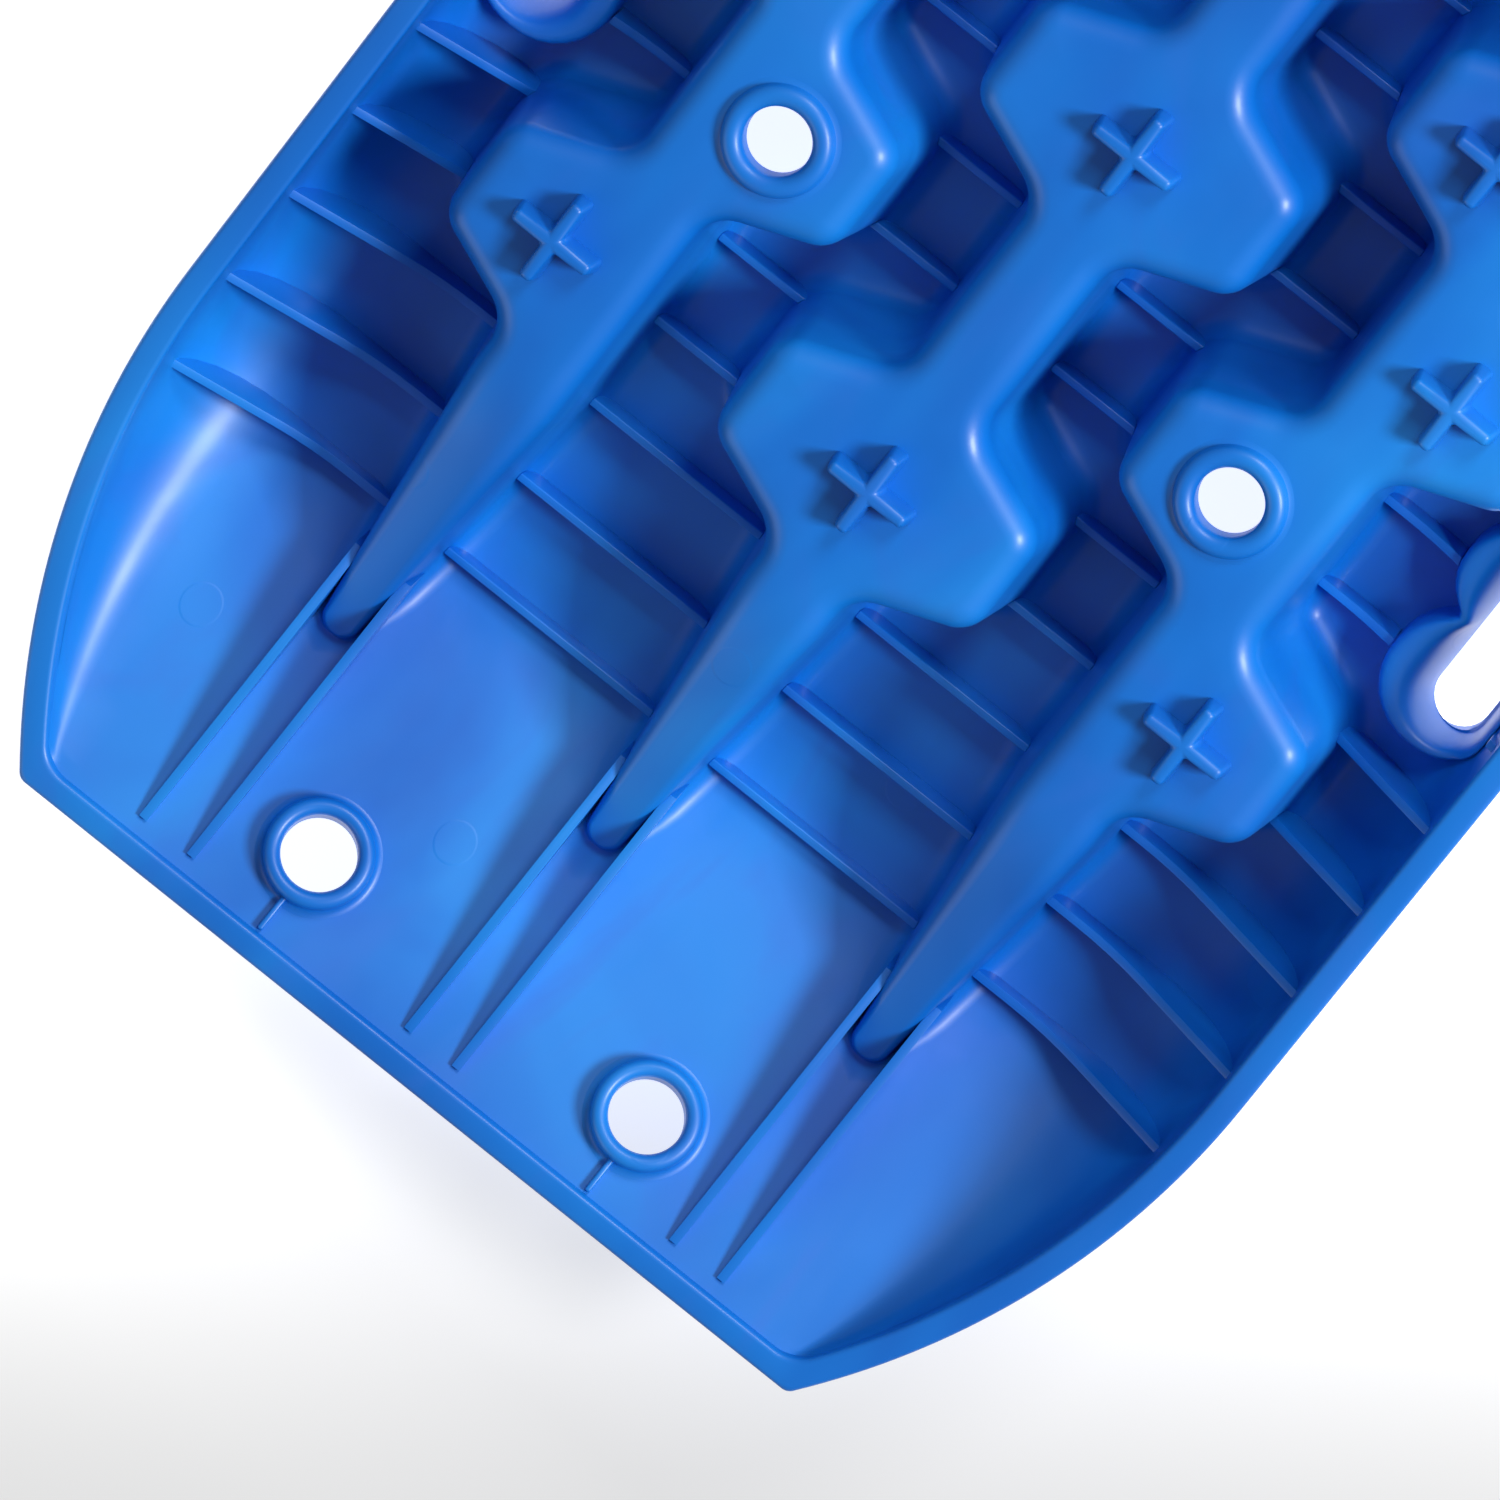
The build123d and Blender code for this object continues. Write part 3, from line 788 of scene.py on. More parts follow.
@dataclass
class Relief:
    """The skin of the moulding as one smooth surface, cut into the pieces that the frame names."""

    sizes: BoardSizes
    rows: list[Row]
    grips: list["Grip"]
    boss_places: list[tuple[float, float]]
    grid: float = 7.0
    gap: float = 2.2
    wall_gap: float = 0.5
    boss_hole: float = 12.2
    eyelet_hole: float = 12.4

    def floor_node(self, x: float, y: float) -> str:
        """Name of the node that a place on the floor belongs to.

        Args:
            x: Place along the board.
            y: Place across it.

        Returns:
            The node's name.
        """
        s = self.sizes
        if abs(x) > s.side_x:
            return "far_ramp" if x > 0 else "near_ramp"
        side = "left" if y > 0 else "right"
        if abs(y) < s.row_spacing:
            return f"{side}_inner_channel"
        for grip in self.grips:
            if grip.side.name.lower() == side and abs(x - grip.x) < s.slot_length / 2:
                return f"{grip.label}_slot_surround"
        return f"{side}_side_channel"

    def build(self) -> list[bpy.types.Object]:
        """Makes the pieces.

        Returns:
            One closed piece for every node of the skin.
        """
        s = self.sizes
        verts: list[Points] = []
        faces: list[tuple[int, ...]] = []
        tags: list[str] = []
        count = 0

        def add(points: Points, new_faces: Sequence[Sequence[int]], names: Sequence[str]) -> None:
            nonlocal count
            verts.append(points)
            faces.extend(tuple(i + count for i in f) for f in new_faces)
            tags.extend(names)
            count += len(points)

        bases = []
        for row in self.rows:
            rings = row.rings()
            around = len(rings[0])
            quads = [f[::-1] for f in ring_faces(len(rings), around)]
            add(np.vstack(rings), quads, [row.node] * len(quads))
            bases.append(rings[-1][:, :2])
            self.add_cap(add, row, rings[0][:, :2])
        wall = board_loop(s, s.rim_width, s.inner_corner, EDGE_STEP)
        self.add_floor(add, wall, bases)
        low = s.floor(wall.points[:, 0], wall.points[:, 1])
        high = np.maximum(low, s.deck_z - s.rim_thickness + 0.5)
        strip = np.vstack([np.column_stack([wall.points, low]), np.column_stack([wall.points, high])])
        quads = [f[::-1] for f in ring_faces(2, len(wall.points))]
        middles = [wall.points[f[0] % len(wall.points)] for f in quads]
        add(strip, quads, [self.floor_node(*m) for m in middles])
        return self.split(np.vstack(verts), faces, tags)

    def add_cap(self, add: Callable[..., None], row: Row, edge: Points) -> None:
        """Fills a row's flat top, leaving out the holes for its pin bosses.

        Args:
            add: Takes points, faces and the node of each face.
            row: The row.
            edge: The plan of its flat top.
        """
        s = self.sizes
        holes = []
        for bx, by in self.boss_places:
            if abs(by - row.y) < s.lobe_reach:
                turn = np.linspace(0, 2 * math.pi, HOLE_STEPS, endpoint=False)
                ring = [bx + self.boss_hole * np.cos(turn), by + self.boss_hole * np.sin(turn)]
                holes.append(np.column_stack(ring))
        points, made = self.fill(edge, holes, self.grid_points(edge), self.gap)
        add(np.column_stack([points, s.row_top(points[:, 0])]), made, [row.node] * len(made))

    def fill(
        self, edge: Points, holes: Sequence[Points], loose: Points, edge_gap: float
    ) -> tuple[Points, list[list[int]]]:
        """Fills the region between an edge and its holes with triangles.

        Args:
            edge: The region's outer loop.
            holes: Loops that stay open.
            loose: Points to use inside the region, where they stand clear of its loops.
            edge_gap: Least distance of those points from the outer loop.

        Returns:
            The points and the triangles.
        """

        def keep(x: Points, y: Points) -> Points:
            wanted = inside(edge, x, y)
            for hole in holes:
                wanted &= ~inside(hole, x, y)
            return wanted

        loose = loose[keep(loose[:, 0], loose[:, 1])]
        loose = clear_of(clear_of(loose, [edge], edge_gap), holes, self.gap)
        return triangulate([edge, *holes], loose, keep)

    def grid_points(self, edge: Points) -> Points:
        """Points of a triangular grid over the box round a loop.

        Args:
            edge: The loop.

        Returns:
            The points.
        """
        low, high = edge.min(axis=0), edge.max(axis=0)
        xs = np.arange(low[0], high[0], self.grid)
        ys = np.arange(low[1], high[1], self.grid * 0.87)
        x, y = np.meshgrid(xs, ys)
        x[1::2] += self.grid / 2
        return np.column_stack([x.ravel(), y.ravel()])

    def add_floor(self, add: Callable[..., None], wall: Loop, bases: list[Points]) -> None:
        """Fills the floor between the rows and the wall, with the coves' curve in it.

        Args:
            add: Takes points, faces and the node of each face.
            wall: The inside of the side and end walls.
            bases: The foot of each row.
        """
        s = self.sizes
        radius = s.cove_at(wall.points[:, 0])
        coves = []
        for angle in np.radians([0, 15, 30, 45, 60, 75]):
            coves.append(wall.offset(-radius * (1 - math.sin(angle))))
        turn = np.linspace(0, 2 * math.pi, HOLE_STEPS, endpoint=False)
        lean = math.cos(math.atan(s.ramp_slope))
        holes = list(bases)
        for end in End:
            for side in Side:
                cx = end.value * (s.half_length - s.eyelet_from_end)
                cy = side.value * s.eyelet_half_spacing
                ring = [cx + self.eyelet_hole * lean * np.cos(turn), cy + self.eyelet_hole * np.sin(turn)]
                holes.append(np.column_stack(ring))
        holes += [grip.outline() for grip in self.grips]
        grid = self.grid_points(wall.points)
        far = s.wall_distance(grid[:, 0], grid[:, 1]) > s.cove_at(grid[:, 0]) + self.grid / 2
        points, made = self.fill(wall.points, holes, np.vstack([grid[far], *coves]), self.wall_gap)
        heights = s.floor(points[:, 0], points[:, 1])
        names = [self.floor_node(*points[f].mean(axis=0)) for f in made]
        add(np.column_stack([points, heights]), made, names)

    def split(self, verts: Points, faces: list[tuple[int, ...]], tags: list[str]) -> list[bpy.types.Object]:
        """Thickens the surface and cuts it into its named pieces.

        Args:
            verts: Points of the whole surface in millimetres.
            faces: Its faces, seen from the open side.
            tags: The node of each face.

        Returns:
            One closed piece for every node.
        """
        names = sorted(set(tags))
        whole = bmesh.new()
        made = [whole.verts.new(v) for v in verts]
        for face, tag in zip(faces, tags):
            if len({tuple(np.round(verts[i], 3)) for i in face}) > 2:
                fresh = whole.faces.new([made[i] for i in face])
                fresh.material_index = names.index(tag)
        bmesh.ops.remove_doubles(whole, verts=whole.verts, dist=0.02)
        whole.normal_update()
        whole.verts.index_update()
        tops = np.array([v.co[:] for v in whole.verts])
        normals = np.array([v.normal[:] for v in whole.verts])
        groups: dict[int, list[list[int]]] = {}
        for face in whole.faces:
            groups.setdefault(face.material_index, []).append([v.index for v in face.verts])
        whole.free()
        return [self.shell(names[n], tops, normals, group) for n, group in sorted(groups.items())]

    def shell(self, name: str, tops: Points, normals: Points, faces: list[list[int]]) -> bpy.types.Object:
        """Makes one closed piece with the skin's thickness from part of the surface.

        Args:
            name: The piece's name.
            tops: Points of the whole surface.
            normals: The surface's normal at each of them.
            faces: The part's faces.

        Returns:
            The piece.
        """
        used = sorted({i for f in faces for i in f})
        number = {old: new for new, old in enumerate(used)}
        count = len(used)
        upper, facing = tops[used], normals[used]
        under = upper - facing * self.sizes.skin
        top_faces = [[number[i] for i in f] for f in faces]
        under_faces = [[i + count for i in reversed(f)] for f in top_faces]
        walked = {(f[k], f[(k + 1) % len(f)]) for f in top_faces for k in range(len(f))}
        sides = [[b, a, a + count, b + count] for a, b in walked if (b, a) not in walked]
        piece = new_piece(name, np.vstack([upper, under]), top_faces + under_faces + sides)
        mesh = piece.data
        mesh.polygons.foreach_set("use_smooth", [i < 2 * len(top_faces) for i in range(len(mesh.polygons))])
        every = np.vstack([facing, -facing])
        loops = []
        for polygon in mesh.polygons:
            for vertex in polygon.vertices:
                smooth_face = polygon.index < 2 * len(top_faces)
                loops.append(tuple(every[vertex]) if smooth_face else (0.0, 0.0, 0.0))
        mesh.normals_split_custom_set(loops)
        return piece


# ---- Rim and hand slots -----------------------------------------------------------------------------
@dataclass
class Rim:
    """Flat band round the open side, with rounded edges."""

    sizes: BoardSizes
    outer_corner: float = 3.0
    rounding: float = 1.3

    def section(self) -> list[tuple[float, float]]:
        """Cross-section as insets and heights, walked from the outer foot over the top."""
        s = self.sizes
        top, low, wide, r = s.deck_z, s.deck_z - s.rim_thickness, s.rim_width, self.rounding
        turn = [math.radians(a) for a in (0, 22.5, 45, 67.5, 90)]
        outer = [(r - r * math.cos(a), top - r + r * math.sin(a)) for a in turn]
        inner = [(wide - r + r * math.sin(a), top - r + r * math.cos(a)) for a in turn]
        return [(0.7, low), (0.0, low + 0.7), *outer, *inner, (wide, low), (s.rim_width / 2, low)]

    def node(self, x: float, y: float) -> str:
        """Name of the node that a place on the rim belongs to.

        Args:
            x: Place along the board.
            y: Place across it.

        Returns:
            The node's name.
        """
        if abs(x) > self.sizes.side_x:
            return "far_rim" if x > 0 else "near_rim"
        return "left_rim" if y > 0 else "right_rim"

    def build(self) -> list[bpy.types.Object]:
        """Makes the four lengths of rim.

        Returns:
            One closed piece for every length.
        """
        section = self.section()
        rings = []
        for inset, z in section:
            share = min(max(inset / self.sizes.rim_width, 0), 1)
            corner = self.outer_corner + (self.sizes.inner_corner - self.outer_corner) * share
            rings.append([(*p, z) for p in board_loop(self.sizes, inset, corner, EDGE_STEP).points])
        count, across = len(rings[0]), len(section)
        middles = []
        for i in range(count):
            following = rings[0][(i + 1) % count]
            middles.append(self.node(*np.mean([rings[0][i][:2], following[:2]], axis=0)))
        pieces = []
        for name in sorted(set(middles)):
            spans = [i for i in range(count) if middles[i] == name]
            first = next(i for i in spans if middles[i - 1] != name)
            walk = [(first + k) % count for k in range(len(spans) + 1)]
            verts = [rings[k][i] for i in walk for k in range(across)]
            faces = []
            for j in range(len(spans)):
                for k in range(across):
                    n = (k + 1) % across
                    faces.append((j * across + k, (j + 1) * across + k, (j + 1) * across + n, j * across + n))
            last = len(spans) * across
            faces.append(tuple(range(across)))
            faces.append(tuple(last + k for k in reversed(range(across))))
            piece = new_piece(name, verts, faces)
            edit(piece, lambda: bpy.ops.mesh.normals_make_consistent(inside=False))
            smooth(piece, 32)
            pieces.append(piece)
        return pieces


def arc_through(
    start: Sequence[float], middle: Sequence[float], end: Sequence[float], steps: int
) -> Points:
    """Points on the arc through three points, without its last point.

    Args:
        start: First point.
        middle: A point on the way.
        end: Last point.
        steps: Number of chords.

    Returns:
        The points.
    """
    (ax, ay), (bx, by), (cx, cy) = start, middle, end
    d = 2 * (ax * (by - cy) + bx * (cy - ay) + cx * (ay - by))
    a2, b2, c2 = ax * ax + ay * ay, bx * bx + by * by, cx * cx + cy * cy
    ux = (a2 * (by - cy) + b2 * (cy - ay) + c2 * (ay - by)) / d
    uy = (a2 * (cx - bx) + b2 * (ax - cx) + c2 * (bx - ax)) / d
    radius = math.hypot(ax - ux, ay - uy)
    first = math.atan2(ay - uy, ax - ux)
    turn = (math.atan2(cy - uy, cx - ux) - first) % (2 * math.pi)
    half = (math.atan2(by - uy, bx - ux) - first) % (2 * math.pi)
    if half > turn:
        turn -= 2 * math.pi
    angles = first + turn * np.arange(steps) / steps
    return np.column_stack([ux + radius * np.cos(angles), uy + radius * np.sin(angles)])


@dataclass
class Grip:
    """Collar round a hand slot, scalloped for the fingers and dished down into the slot."""

    end: End
    side: Side
    sizes: BoardSizes
    wall: float = 3.4
    height: float = 14.5
    end_wall: float = 6.0
    scallops: int = 5
    scallop_depth: float = 10.0

    @property
    def label(self) -> str:
        """Which of the four grips this is."""
        return corner_name(self.end, self.side)

    @property
    def x(self) -> float:
        """The slot's middle along the board."""
        return self.end.value * (self.sizes.half_length - self.sizes.slot_centre_from_end)

    def outline(self) -> Points:
        """The collar's foot in plan, anticlockwise for the left side."""
        s = self.sizes
        outer = s.slot_outer_y + self.wall
        middle = s.slot_outer_y - s.slot_width / 2
        cusp = s.slot_outer_y - s.slot_width - self.wall
        pitch = s.slot_length / self.scallops
        end_x, side_x = s.slot_length / 2 + self.end_wall, s.slot_length / 2 - self.end_wall
        joints = [(-end_x, middle)]
        joints += [(-s.slot_length / 2 + i * pitch, cusp) for i in range(1, self.scallops)]
        joints.append((end_x, middle))
        parts = []
        for i, (a, b) in enumerate(zip(joints, joints[1:])):
            valley = ((i + 0.5) * pitch - s.slot_length / 2, cusp - self.scallop_depth)
            parts.append(arc_through(a, valley, b, 14))
        corner = (s.slot_length / 2 + self.end_wall / 2, outer - self.wall)
        parts.append(arc_through((end_x, middle), corner, (side_x, outer), 8))
        straight = np.linspace(side_x, -side_x, 30, endpoint=False)
        parts.append(np.column_stack([straight, np.full(30, outer)]))
        parts.append(arc_through((-side_x, outer), (-corner[0], corner[1]), (-end_x, middle), 8))
        loop = np.vstack(parts)
        for _ in range(2):
            loop = 0.5 * loop + 0.25 * (np.roll(loop, 1, axis=0) + np.roll(loop, -1, axis=0))
        return loop * (1, self.side.value) + (self.x, 0)

    def slot_edge(self, outline: Points) -> Points:
        """The place on the slot's edge next to each point of the collar's outline.

        Args:
            outline: The outline's points.

        Returns:
            The places, in the same order.
        """
        s = self.sizes
        radius = s.slot_width / 2
        y = self.side.value * (s.slot_outer_y - radius)
        reach = s.slot_length / 2 - radius
        spine_x = np.clip(outline[:, 0], self.x - reach, self.x + reach)
        spine = np.column_stack([spine_x, np.full(len(outline), y)])
        away = outline - spine
        return spine + away / np.linalg.norm(away, axis=1, keepdims=True) * radius

    def build(self) -> bpy.types.Object:
        """Makes the collar.

        Returns:
            The closed piece.
        """
        s = self.sizes
        outer = self.outline()
        inner = self.slot_edge(outer)
        top, under = s.floor_z + self.height, s.stud_height
        profile = [
            (0.0, under), (0.0, top - 2.0), (0.05, top - 0.8), (0.13, top - 0.15), (0.24, top),
            (0.40, top - 0.25), (0.52, top - 1.2), (0.63, top - 2.9), (0.74, top - 5.4), (0.84, top - 8.4),
            (0.93, top - 11.8), (0.98, top - 14.6), (1.0, under),
        ]
        lift = np.maximum(s.floor(outer[:, 0], outer[:, 1]) + 0.6 - (top - 2.0), 0)
        rings = []
        for share, z in profile:
            at = outer + (inner - outer) * share
            heights = z + lift * min(max(1 - share / 0.75, 0), 1)
            if z == under:
                heights = s.under_floor(at[:, 0], at[:, 1])
            rings.append(np.column_stack([at, heights]))
        faces = ring_faces(len(rings), len(outer))
        last = (len(rings) - 1) * len(outer)
        for i in range(len(outer)):
            j = (i + 1) % len(outer)
            faces.append((last + i, last + j, j, i))
        piece = new_piece(f"{self.label}_grip", np.vstack(rings), faces)
        edit(piece, lambda: bpy.ops.mesh.normals_make_consistent(inside=False))
        smooth(piece, 50)
        return piece


# ---- Turned collars, cleats, studs, ribs and fins ---------------------------------------------------
def turned(name: str, profile: Sequence[tuple[float, float]], steps: int = 64) -> bpy.types.Object:
    """Spins a closed profile round Z.

    Args:
        name: The piece's name.
        profile: Radius and height of each point, in millimetres.
        steps: Number of facets round the axis.

    Returns:
        The closed ring.
    """
    count = len(profile)
    piece = new_piece(name, [(r, 0, z) for r, z in profile], [tuple(range(count))])
    edit(
        piece,
        lambda: bpy.ops.mesh.delete(type="ONLY_FACE"),
        lambda: bpy.ops.mesh.select_all(action="SELECT"),
        lambda: bpy.ops.mesh.spin(steps=steps, angle=2 * math.pi, center=(0, 0, 0), axis=(0, 0, 1)),
        lambda: bpy.ops.mesh.select_all(action="SELECT"),
        lambda: bpy.ops.mesh.remove_doubles(threshold=0.00001),
        lambda: bpy.ops.mesh.normals_make_consistent(inside=False),
    )
    return piece


def arc_profile(
    centre: tuple[float, float], radii: tuple[float, float], start: float, end: float
) -> list[tuple[float, float]]:
    """Points of an elliptic arc in a profile, from one angle to another in degrees.

    Args:
        centre: The arc's centre.
        radii: Its half widths along and up.
        start: First angle.
        end: Last angle.

    Returns:
        The points.
    """
    steps = 9
    points = []
    for k in range(steps + 1):
        angle = math.radians(start + (end - start) * k / steps)
        points.append((centre[0] + radii[0] * math.cos(angle), centre[1] + radii[1] * math.sin(angle)))
    return points


def repeated(unit: bpy.types.Object, name: str, places: Sequence[Matrix]) -> bpy.types.Object:
    """Makes one piece out of copies of a unit, and removes the unit.

    Args:
        unit: The object to copy, in metres, with its place in its mesh.
        name: The new piece's name.
        places: Transforms in metres.

    Returns:
        The joined piece.
    """
    joined = bmesh.new()
    for place in places:
        before = len(joined.verts)
        joined.from_mesh(unit.data)
        joined.verts.ensure_lookup_table()
        bmesh.ops.transform(joined, matrix=place, verts=joined.verts[before:])
    mesh = bpy.data.meshes.new(name)
    joined.to_mesh(mesh)
    joined.free()
    piece = bpy.data.objects.new(name, mesh)
    bpy.context.collection.objects.link(piece)
    bpy.data.objects.remove(unit)
    return piece


@dataclass
class PinBoss:
    """Round lip and sleeve through a row top, with a soft skirt."""

    node: str
    x: float
    y: float
    sizes: BoardSizes
    bore: float = 8.0
    crest: float = 10.6
    skirt: float = 14.6
    lip: float = 3.0

    def build(self) -> bpy.types.Object:
        """Makes the boss in its place."""
        low = -self.sizes.skin
        profile = [(self.bore, low), (self.bore, 0.4)]
        profile += arc_profile((self.crest, 0.6), (self.crest - self.bore, self.lip - 0.6), 180, 0)[1:]
        profile += [(13.35, 0.32), (13.9, 0.12), (self.skirt, 0.0), (self.skirt, -0.8)]
        profile += [(self.sizes.boss_radius, -1.2), (self.sizes.boss_radius, low)]
        unit = turned("boss_unit", profile)
        centre = Vector((self.x, self.y, self.sizes.deck_z)) * MM
        piece = repeated(unit, self.node, [Matrix.Translation(centre)])
        smooth(piece, 40)
        return piece


@dataclass
class Eyelet:
    """Thick collar through a ramp, square to it, with a small rib to the end rim."""

    end: End
    side: Side
    sizes: BoardSizes
    bore: float = 9.0
    lip: float = 6.0
    gusset_thickness: float = 1.4
    gusset_rise: float = 2.0

    def build(self) -> bpy.types.Object:
        """Makes the eyelet in its place."""
        s = self.sizes
        outer = s.eyelet_radius
        profile = [(self.bore, -s.skin), (self.bore, self.lip - 1.6)]
        profile += arc_profile((self.bore + 2.0, self.lip - 2.0), (2.0, 2.0), 168, 0)
        profile += arc_profile((outer + 1.9, 1.9), (1.9 + 0.3, 1.9), 180, 262)
        profile += [(outer + 1.9, -0.7), (outer, -1.2), (outer, -s.skin)]
        unit = turned("eyelet_unit", profile)
        angle = math.atan(s.ramp_slope)
        x = self.end.value * (s.half_length - s.eyelet_from_end)
        y = self.side.value * s.eyelet_half_spacing
        z = s.deck_z - s.end_step - (s.eyelet_from_end - s.rim_width) * s.ramp_slope
        tilt = Matrix.Rotation(-self.end.value * angle, 4, "Y")
        place = Matrix.Translation(Vector((x, y, z)) * MM) @ tilt
        piece = repeated(unit, f"{corner_name(self.end, self.side)}_eyelet", [place])
        blade = self.gusset(place)
        activate(piece)
        blade.select_set(True)
        bpy.ops.object.join()
        smooth(piece, 40)
        return piece

    def gusset(self, place: Matrix) -> bpy.types.Object:
        """Makes the small rib between the collar and the rim.

        Args:
            place: Where the collar stands, in metres.

        Returns:
            The rib.
        """
        s = self.sizes
        reach = (s.eyelet_from_end - s.rim_width) / math.cos(math.atan(s.ramp_slope)) - 0.6
        bpy.ops.mesh.primitive_cube_add(size=1)
        blade = bpy.context.active_object
        inner = self.bore + 2.5
        size = Vector((reach - inner, self.gusset_thickness, self.gusset_rise + 1.0))
        spot = Vector((self.end.value * (reach + inner) / 2, 0, size.z / 2 - 1.0))
        blade.data.transform(Matrix.Diagonal((*(size * MM), 1)))
        blade.data.transform(place @ Matrix.Translation(spot * MM))
        apply_modifier(blade, "BEVEL", width=0.5 * MM, segments=3)
        return blade


@dataclass
class Cleat:
    """Cross-shaped cleat: two tapering blades that cross."""

    sizes: BoardSizes
    span: float = 23.4
    base: float = 4.7
    top_span: float = 21.4
    top: float = 3.1
    height: float = 7.5
    sunk: float = 0.8

    def blade(self, angle: float) -> bpy.types.Object:
        """Makes one blade, turned round Z by an angle in radians.

        Args:
            angle: The angle.

        Returns:
            The blade.
        """
        bpy.ops.mesh.primitive_cube_add(size=1)
        made = bpy.context.active_object
        for vertex in made.data.vertices:
            upper = vertex.co.z > 0
            long, thick = (self.top_span, self.top) if upper else (self.span, self.base)
            z = self.height if upper else -self.sunk
            vertex.co = Vector((vertex.co.x * long, vertex.co.y * thick, z)) * MM
        made.data.transform(Matrix.Rotation(angle, 4, "Z"))
        return made

    def build(self, node: str, places: Sequence[tuple[float, float]]) -> bpy.types.Object:
        """Makes every cleat of one row.

        Args:
            node: The node that the cleats belong to.
            places: The x and y of each cleat.

        Returns:
            One piece with all of them.
        """
        first, second = self.blade(0), self.blade(math.pi / 2)
        apply_modifier(first, "BOOLEAN", object=second, operation="UNION", solver="EXACT")
        bpy.data.objects.remove(second)
        apply_modifier(first, "BEVEL", width=1.25 * MM, segments=4, limit_method="ANGLE", angle_limit=0.6)
        spots = [Matrix.Translation(Vector((x, y, self.sizes.deck_z)) * MM) for x, y in places]
        piece = repeated(first, node, spots)
        smooth(piece, 50)
        return piece


@dataclass
class Stud:
    """Round tapered stud under the floor."""

    sizes: BoardSizes
    base_radius: float = 5.0
    tip_radius: float = 3.4

    def build(self, node: str, places: Sequence[tuple[float, float]]) -> bpy.types.Object:
        """Makes every stud of one channel.

        Args:
            node: The node that the studs belong to.
            places: The x and y of each stud.

        Returns:
            One piece with all of them.
        """
        height = self.sizes.stud_height
        bpy.ops.mesh.primitive_cone_add(
            vertices=32, radius1=self.tip_radius * MM, radius2=self.base_radius * MM, depth=height * MM
        )
        unit = bpy.context.active_object
        apply_modifier(unit, "BEVEL", width=0.7 * MM, segments=3, limit_method="ANGLE", angle_limit=0.8)
        spots = [Matrix.Translation(Vector((x, y, height / 2)) * MM) for x, y in places]
        piece = repeated(unit, node, spots)
        smooth(piece)
        return piece


def rounded_copy(source: bpy.types.Object, name: str, width: float) -> bpy.types.Object:
    """Makes a copy of thin blades with rounded edges.

    Args:
        source: The object to copy.
        name: The copy's name.
        width: Rounding in millimetres.

    Returns:
        The copy, with its place in its mesh.
    """
    mesh = source.data.copy()
    mesh.transform(source.matrix_world)
    piece = bpy.data.objects.new(name, mesh)
    bpy.context.collection.objects.link(piece)
    edit(
        piece,
        lambda: bpy.ops.mesh.customdata_custom_splitnormals_clear(),
        lambda: bpy.ops.mesh.remove_doubles(threshold=0.00001),
        lambda: bpy.ops.mesh.dissolve_limited(angle_limit=0.03),
        lambda: bpy.ops.mesh.normals_make_consistent(inside=False),
    )
    apply_modifier(piece, "BEVEL", width=width * MM, segments=3, limit_method="ANGLE", angle_limit=0.9)
    smooth(piece, 45)
    return piece


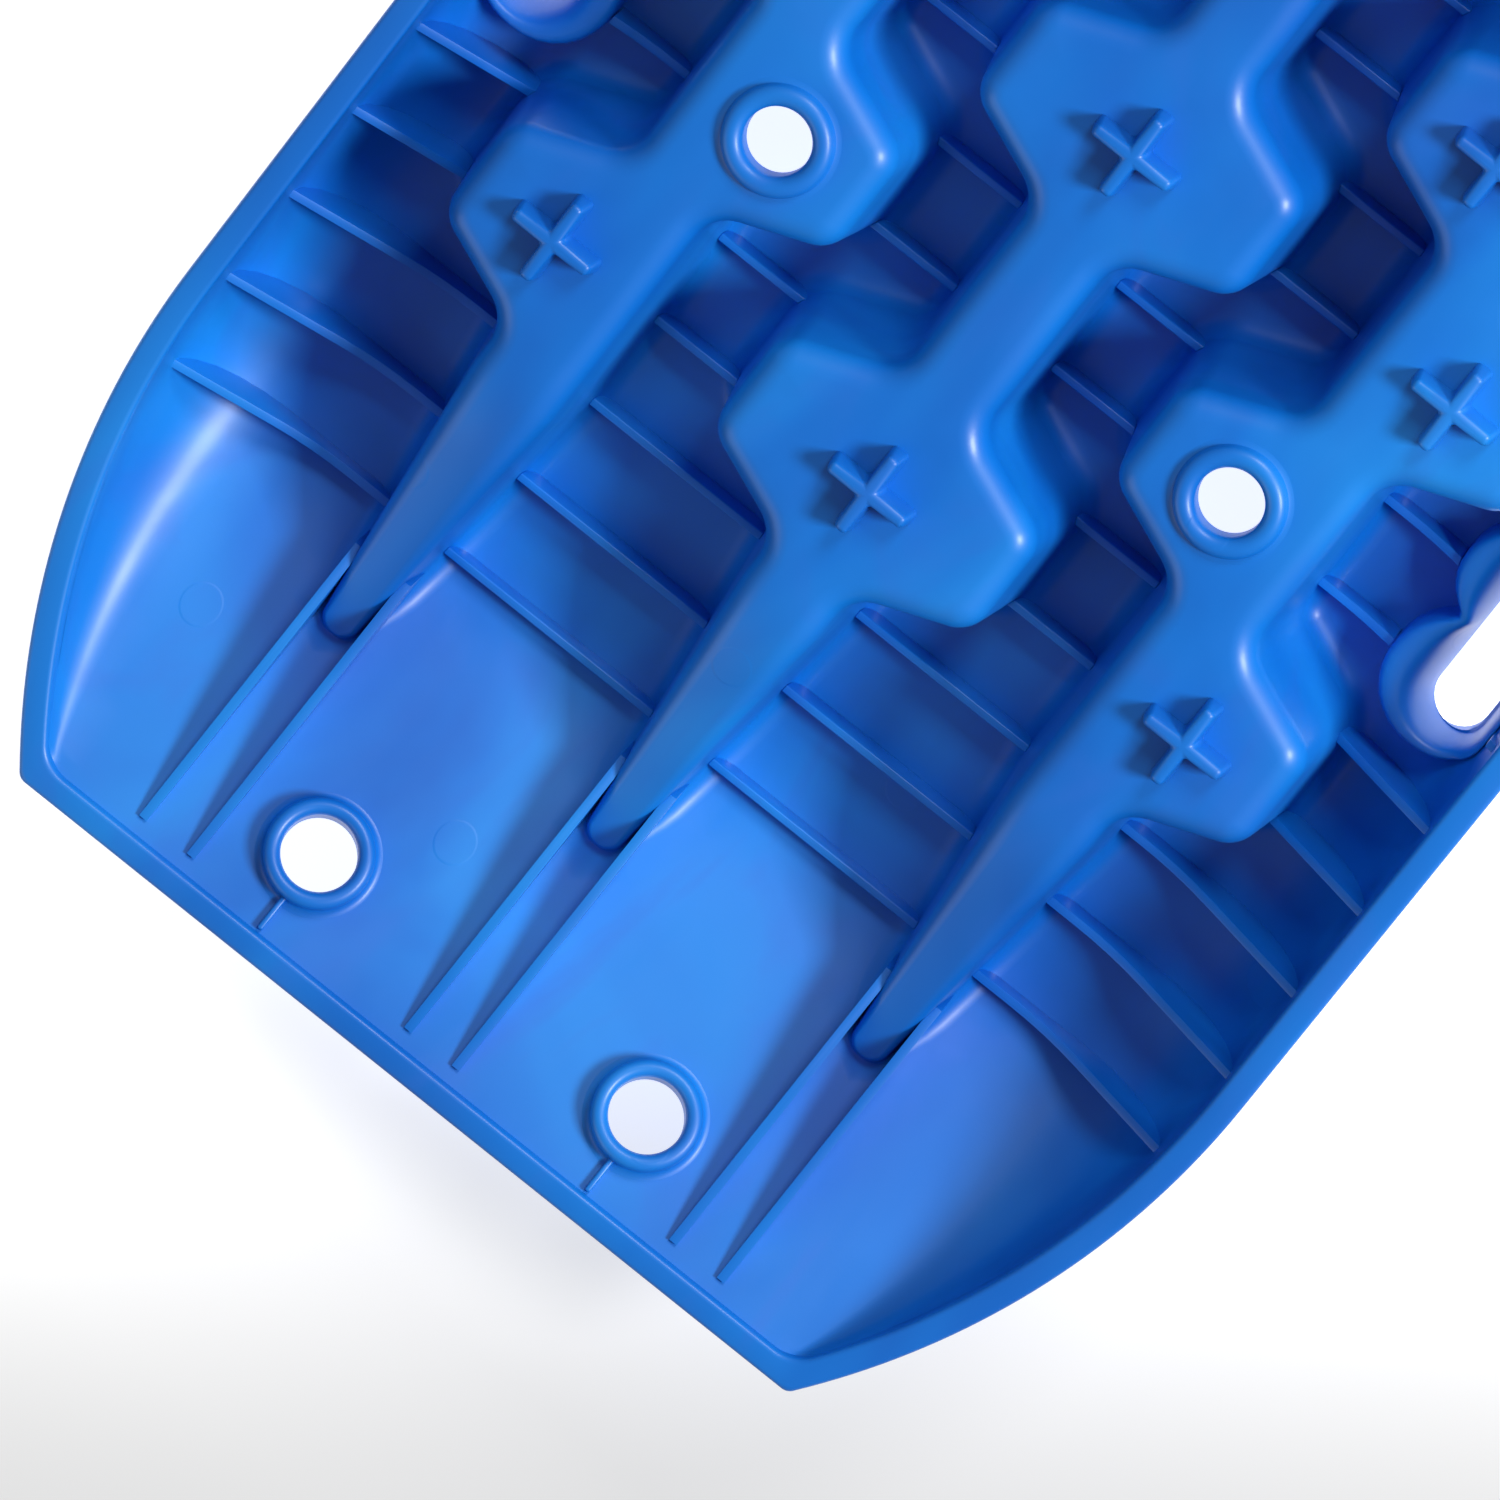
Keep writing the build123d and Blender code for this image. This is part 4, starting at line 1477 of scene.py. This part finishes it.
# ---- The board, the stage and the camera ------------------------------------------------------------
@dataclass
class Board:
    """The whole moulding, piece by piece."""

    frame_nodes: dict[str, bpy.types.Object]
    sizes: BoardSizes = field(default_factory=BoardSizes)
    finish: NylonFinish = field(default_factory=NylonFinish)

    def boss_spots(self) -> dict[str, tuple[float, float]]:
        """Where the pin bosses stand, by node."""
        s = self.sizes
        spots = {}
        for end in End:
            for side in Side:
                y = side.value * (s.row_spacing - s.feature_offset)
                spots[f"{corner_name(end, side)}_pin_boss"] = (end.value * s.between_xs[-1], y)
        return spots

    def cleat_spots(self) -> dict[str, list[tuple[float, float]]]:
        """Where the cleats stand, by node."""
        s = self.sizes
        left = [(x, s.row_spacing + s.feature_offset) for x in s.lobe_xs]
        left += [(x, s.row_spacing - s.feature_offset) for x in s.between_xs[1:-1]]
        return {
            "left_row_cleats": left,
            "centre_row_cleats": [(x, 0.0) for x in s.lobe_xs],
            "right_row_cleats": [(x, -y) for x, y in left],
        }

    def stud_spots(self) -> dict[str, list[tuple[float, float]]]:
        """Where the studs stand, by node."""
        s = self.sizes
        foot = s.channel_depth * math.tan(math.radians(s.wall_draft))
        wide = (s.lobe_reach + s.row_spacing - s.bar_half) / 2
        narrow = (s.bar_half + s.row_spacing - s.lobe_reach) / 2
        beside = (s.row_spacing + s.bar_half + foot + s.width / 2 - s.rim_width - s.cove_radius) / 2
        inner = [(x, wide) for x in s.lobe_xs] + [(x, narrow) for x in s.between_xs]
        outer = [(x, beside) for x in s.between_xs]
        return {
            "left_side_studs": outer,
            "left_inner_studs": inner,
            "right_inner_studs": [(x, -y) for x, y in inner],
            "right_side_studs": [(x, -y) for x, y in outer],
        }

    def build(self) -> list[bpy.types.Object]:
        """Builds every piece, dresses it and ties it to the frame.

        Returns:
            The pieces.
        """
        s = self.sizes
        rows = [
            Row("left_row", s.row_spacing, s.lobe_xs, s.between_xs, s),
            Row("centre_row", 0.0, s.lobe_xs, s.lobe_xs, s),
            Row("right_row", -s.row_spacing, s.between_xs, s.lobe_xs, s),
        ]
        grips = [Grip(end, side, s) for end in End for side in Side]
        bosses = self.boss_spots()
        pieces = Relief(s, rows, grips, list(bosses.values())).build()
        pieces += Rim(s).build()
        pieces += [grip.build() for grip in grips]
        pieces += [PinBoss(name, x, y, s).build() for name, (x, y) in bosses.items()]
        pieces += [Eyelet(end, side, s).build() for end in End for side in Side]
        pieces += [Cleat(s).build(name, spots) for name, spots in self.cleat_spots().items()]
        pieces += [Stud(s).build(name, spots) for name, spots in self.stud_spots().items()]
        for name in ("left_side_ribs", "left_inner_ribs", "right_inner_ribs", "right_side_ribs"):
            pieces.append(rounded_copy(self.frame_nodes[name], f"{name}_rounded", 0.75))
        for name in ("near_tip_fins", "far_tip_fins"):
            pieces.append(rounded_copy(self.frame_nodes[name], f"{name}_rounded", 0.85))
        nylon = self.finish.build()
        for piece in pieces:
            self.dress(piece, nylon)
        return pieces

    def dress(self, piece: bpy.types.Object, nylon: bpy.types.Material) -> None:
        """Gives a piece its finish, names it after the frame's node that it stands for, hangs it under the
        root body and hides that node.

        Args:
            piece: The piece.
            nylon: Its material.
        """
        node = piece.name.split(".")[0].removesuffix("_rounded")
        piece.name = f"{node}_visual"
        piece.data.materials.clear()
        piece.data.materials.append(nylon)
        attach(piece, "root")
        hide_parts(node)
        LOG.info("%s stands for %s with %d faces", piece.name, node, len(piece.data.polygons))


@dataclass
class AreaLight:
    """Soft rectangular light, aimed at a place."""

    name: str
    place: tuple[float, float, float]
    aim: tuple[float, float, float]
    size: float
    power: float

    def build(self) -> None:
        """Adds the light."""
        data = bpy.data.lights.new(self.name, "AREA")
        data.size = self.size
        data.energy = self.power
        lamp = bpy.data.objects.new(self.name, data)
        bpy.context.collection.objects.link(lamp)
        lamp.location = self.place
        lamp.rotation_euler = (Vector(self.aim) - Vector(self.place)).to_track_quat("-Z", "Y").to_euler()


@dataclass
class Studio:
    """Pale floor, soft lights and an even surrounding."""

    floor_size: float = 12.0
    surround: float = 0.22

    def build(self) -> None:
        """Adds the floor, the lights and the surrounding."""
        bpy.ops.mesh.primitive_plane_add(size=self.floor_size)
        floor = bpy.context.active_object
        floor.name = "studio_floor"
        floor.data.materials.append(FloorFinish().build())
        lights = [
            AreaLight("key_light", (0.9, -2.1, 2.0), (-0.2, 0.0, 0.0), 0.8, 94.0),
            AreaLight("back_light", (-2.2, 1.0, 1.2), (-0.1, 0.0, 0.0), 1.4, 7.0),
            AreaLight("end_light", (2.3, -0.2, 2.0), (-0.2, 0.0, 0.0), 1.0, 40.0),
        ]
        for light in lights:
            light.build()
        world = bpy.data.worlds.new("studio")
        world.use_nodes = True
        backdrop = world.node_tree.nodes["Background"]
        backdrop.inputs["Color"].default_value = (1.0, 1.0, 1.0, 1.0)
        backdrop.inputs["Strength"].default_value = self.surround
        bpy.context.scene.world = world
        bpy.context.scene.view_settings.view_transform = "Standard"


@dataclass
class Camera:
    """Long lens over one end of the board, leaning back along it."""

    place: tuple[float, float, float] = (585.3, -72.2, 3096.0)
    aim: tuple[float, float, float] = (-416.8, -14.9, 57.5)
    turn: float = 51.7
    lens: float = 338.1

    def build(self) -> None:
        """Adds the camera; turn is the angle from the picture's right to the board's length."""
        data = bpy.data.cameras.new("main_camera")
        data.lens = self.lens
        data.clip_end = 50.0
        camera = bpy.data.objects.new("main_camera", data)
        bpy.context.collection.objects.link(camera)
        place, aim = Vector(self.place) * MM, Vector(self.aim) * MM
        back = (place - aim).normalized()
        along = (Vector((1, 0, 0)) - back * back.x).normalized()
        across = back.cross(along)
        angle = math.radians(self.turn)
        right = along * math.cos(angle) - across * math.sin(angle)
        upward = back.cross(right)
        basis = Matrix((right, upward, back)).transposed().to_4x4()
        camera.matrix_world = Matrix.Translation(place) @ basis
        bpy.context.scene.camera = camera


def main() -> None:
    """Builds the board on its stage."""
    logging.basicConfig(level=logging.INFO)
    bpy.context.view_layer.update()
    Board(frame["nodes"]).build()
    Studio().build()
    Camera().build()


if __name__ == "__main__":
    main()
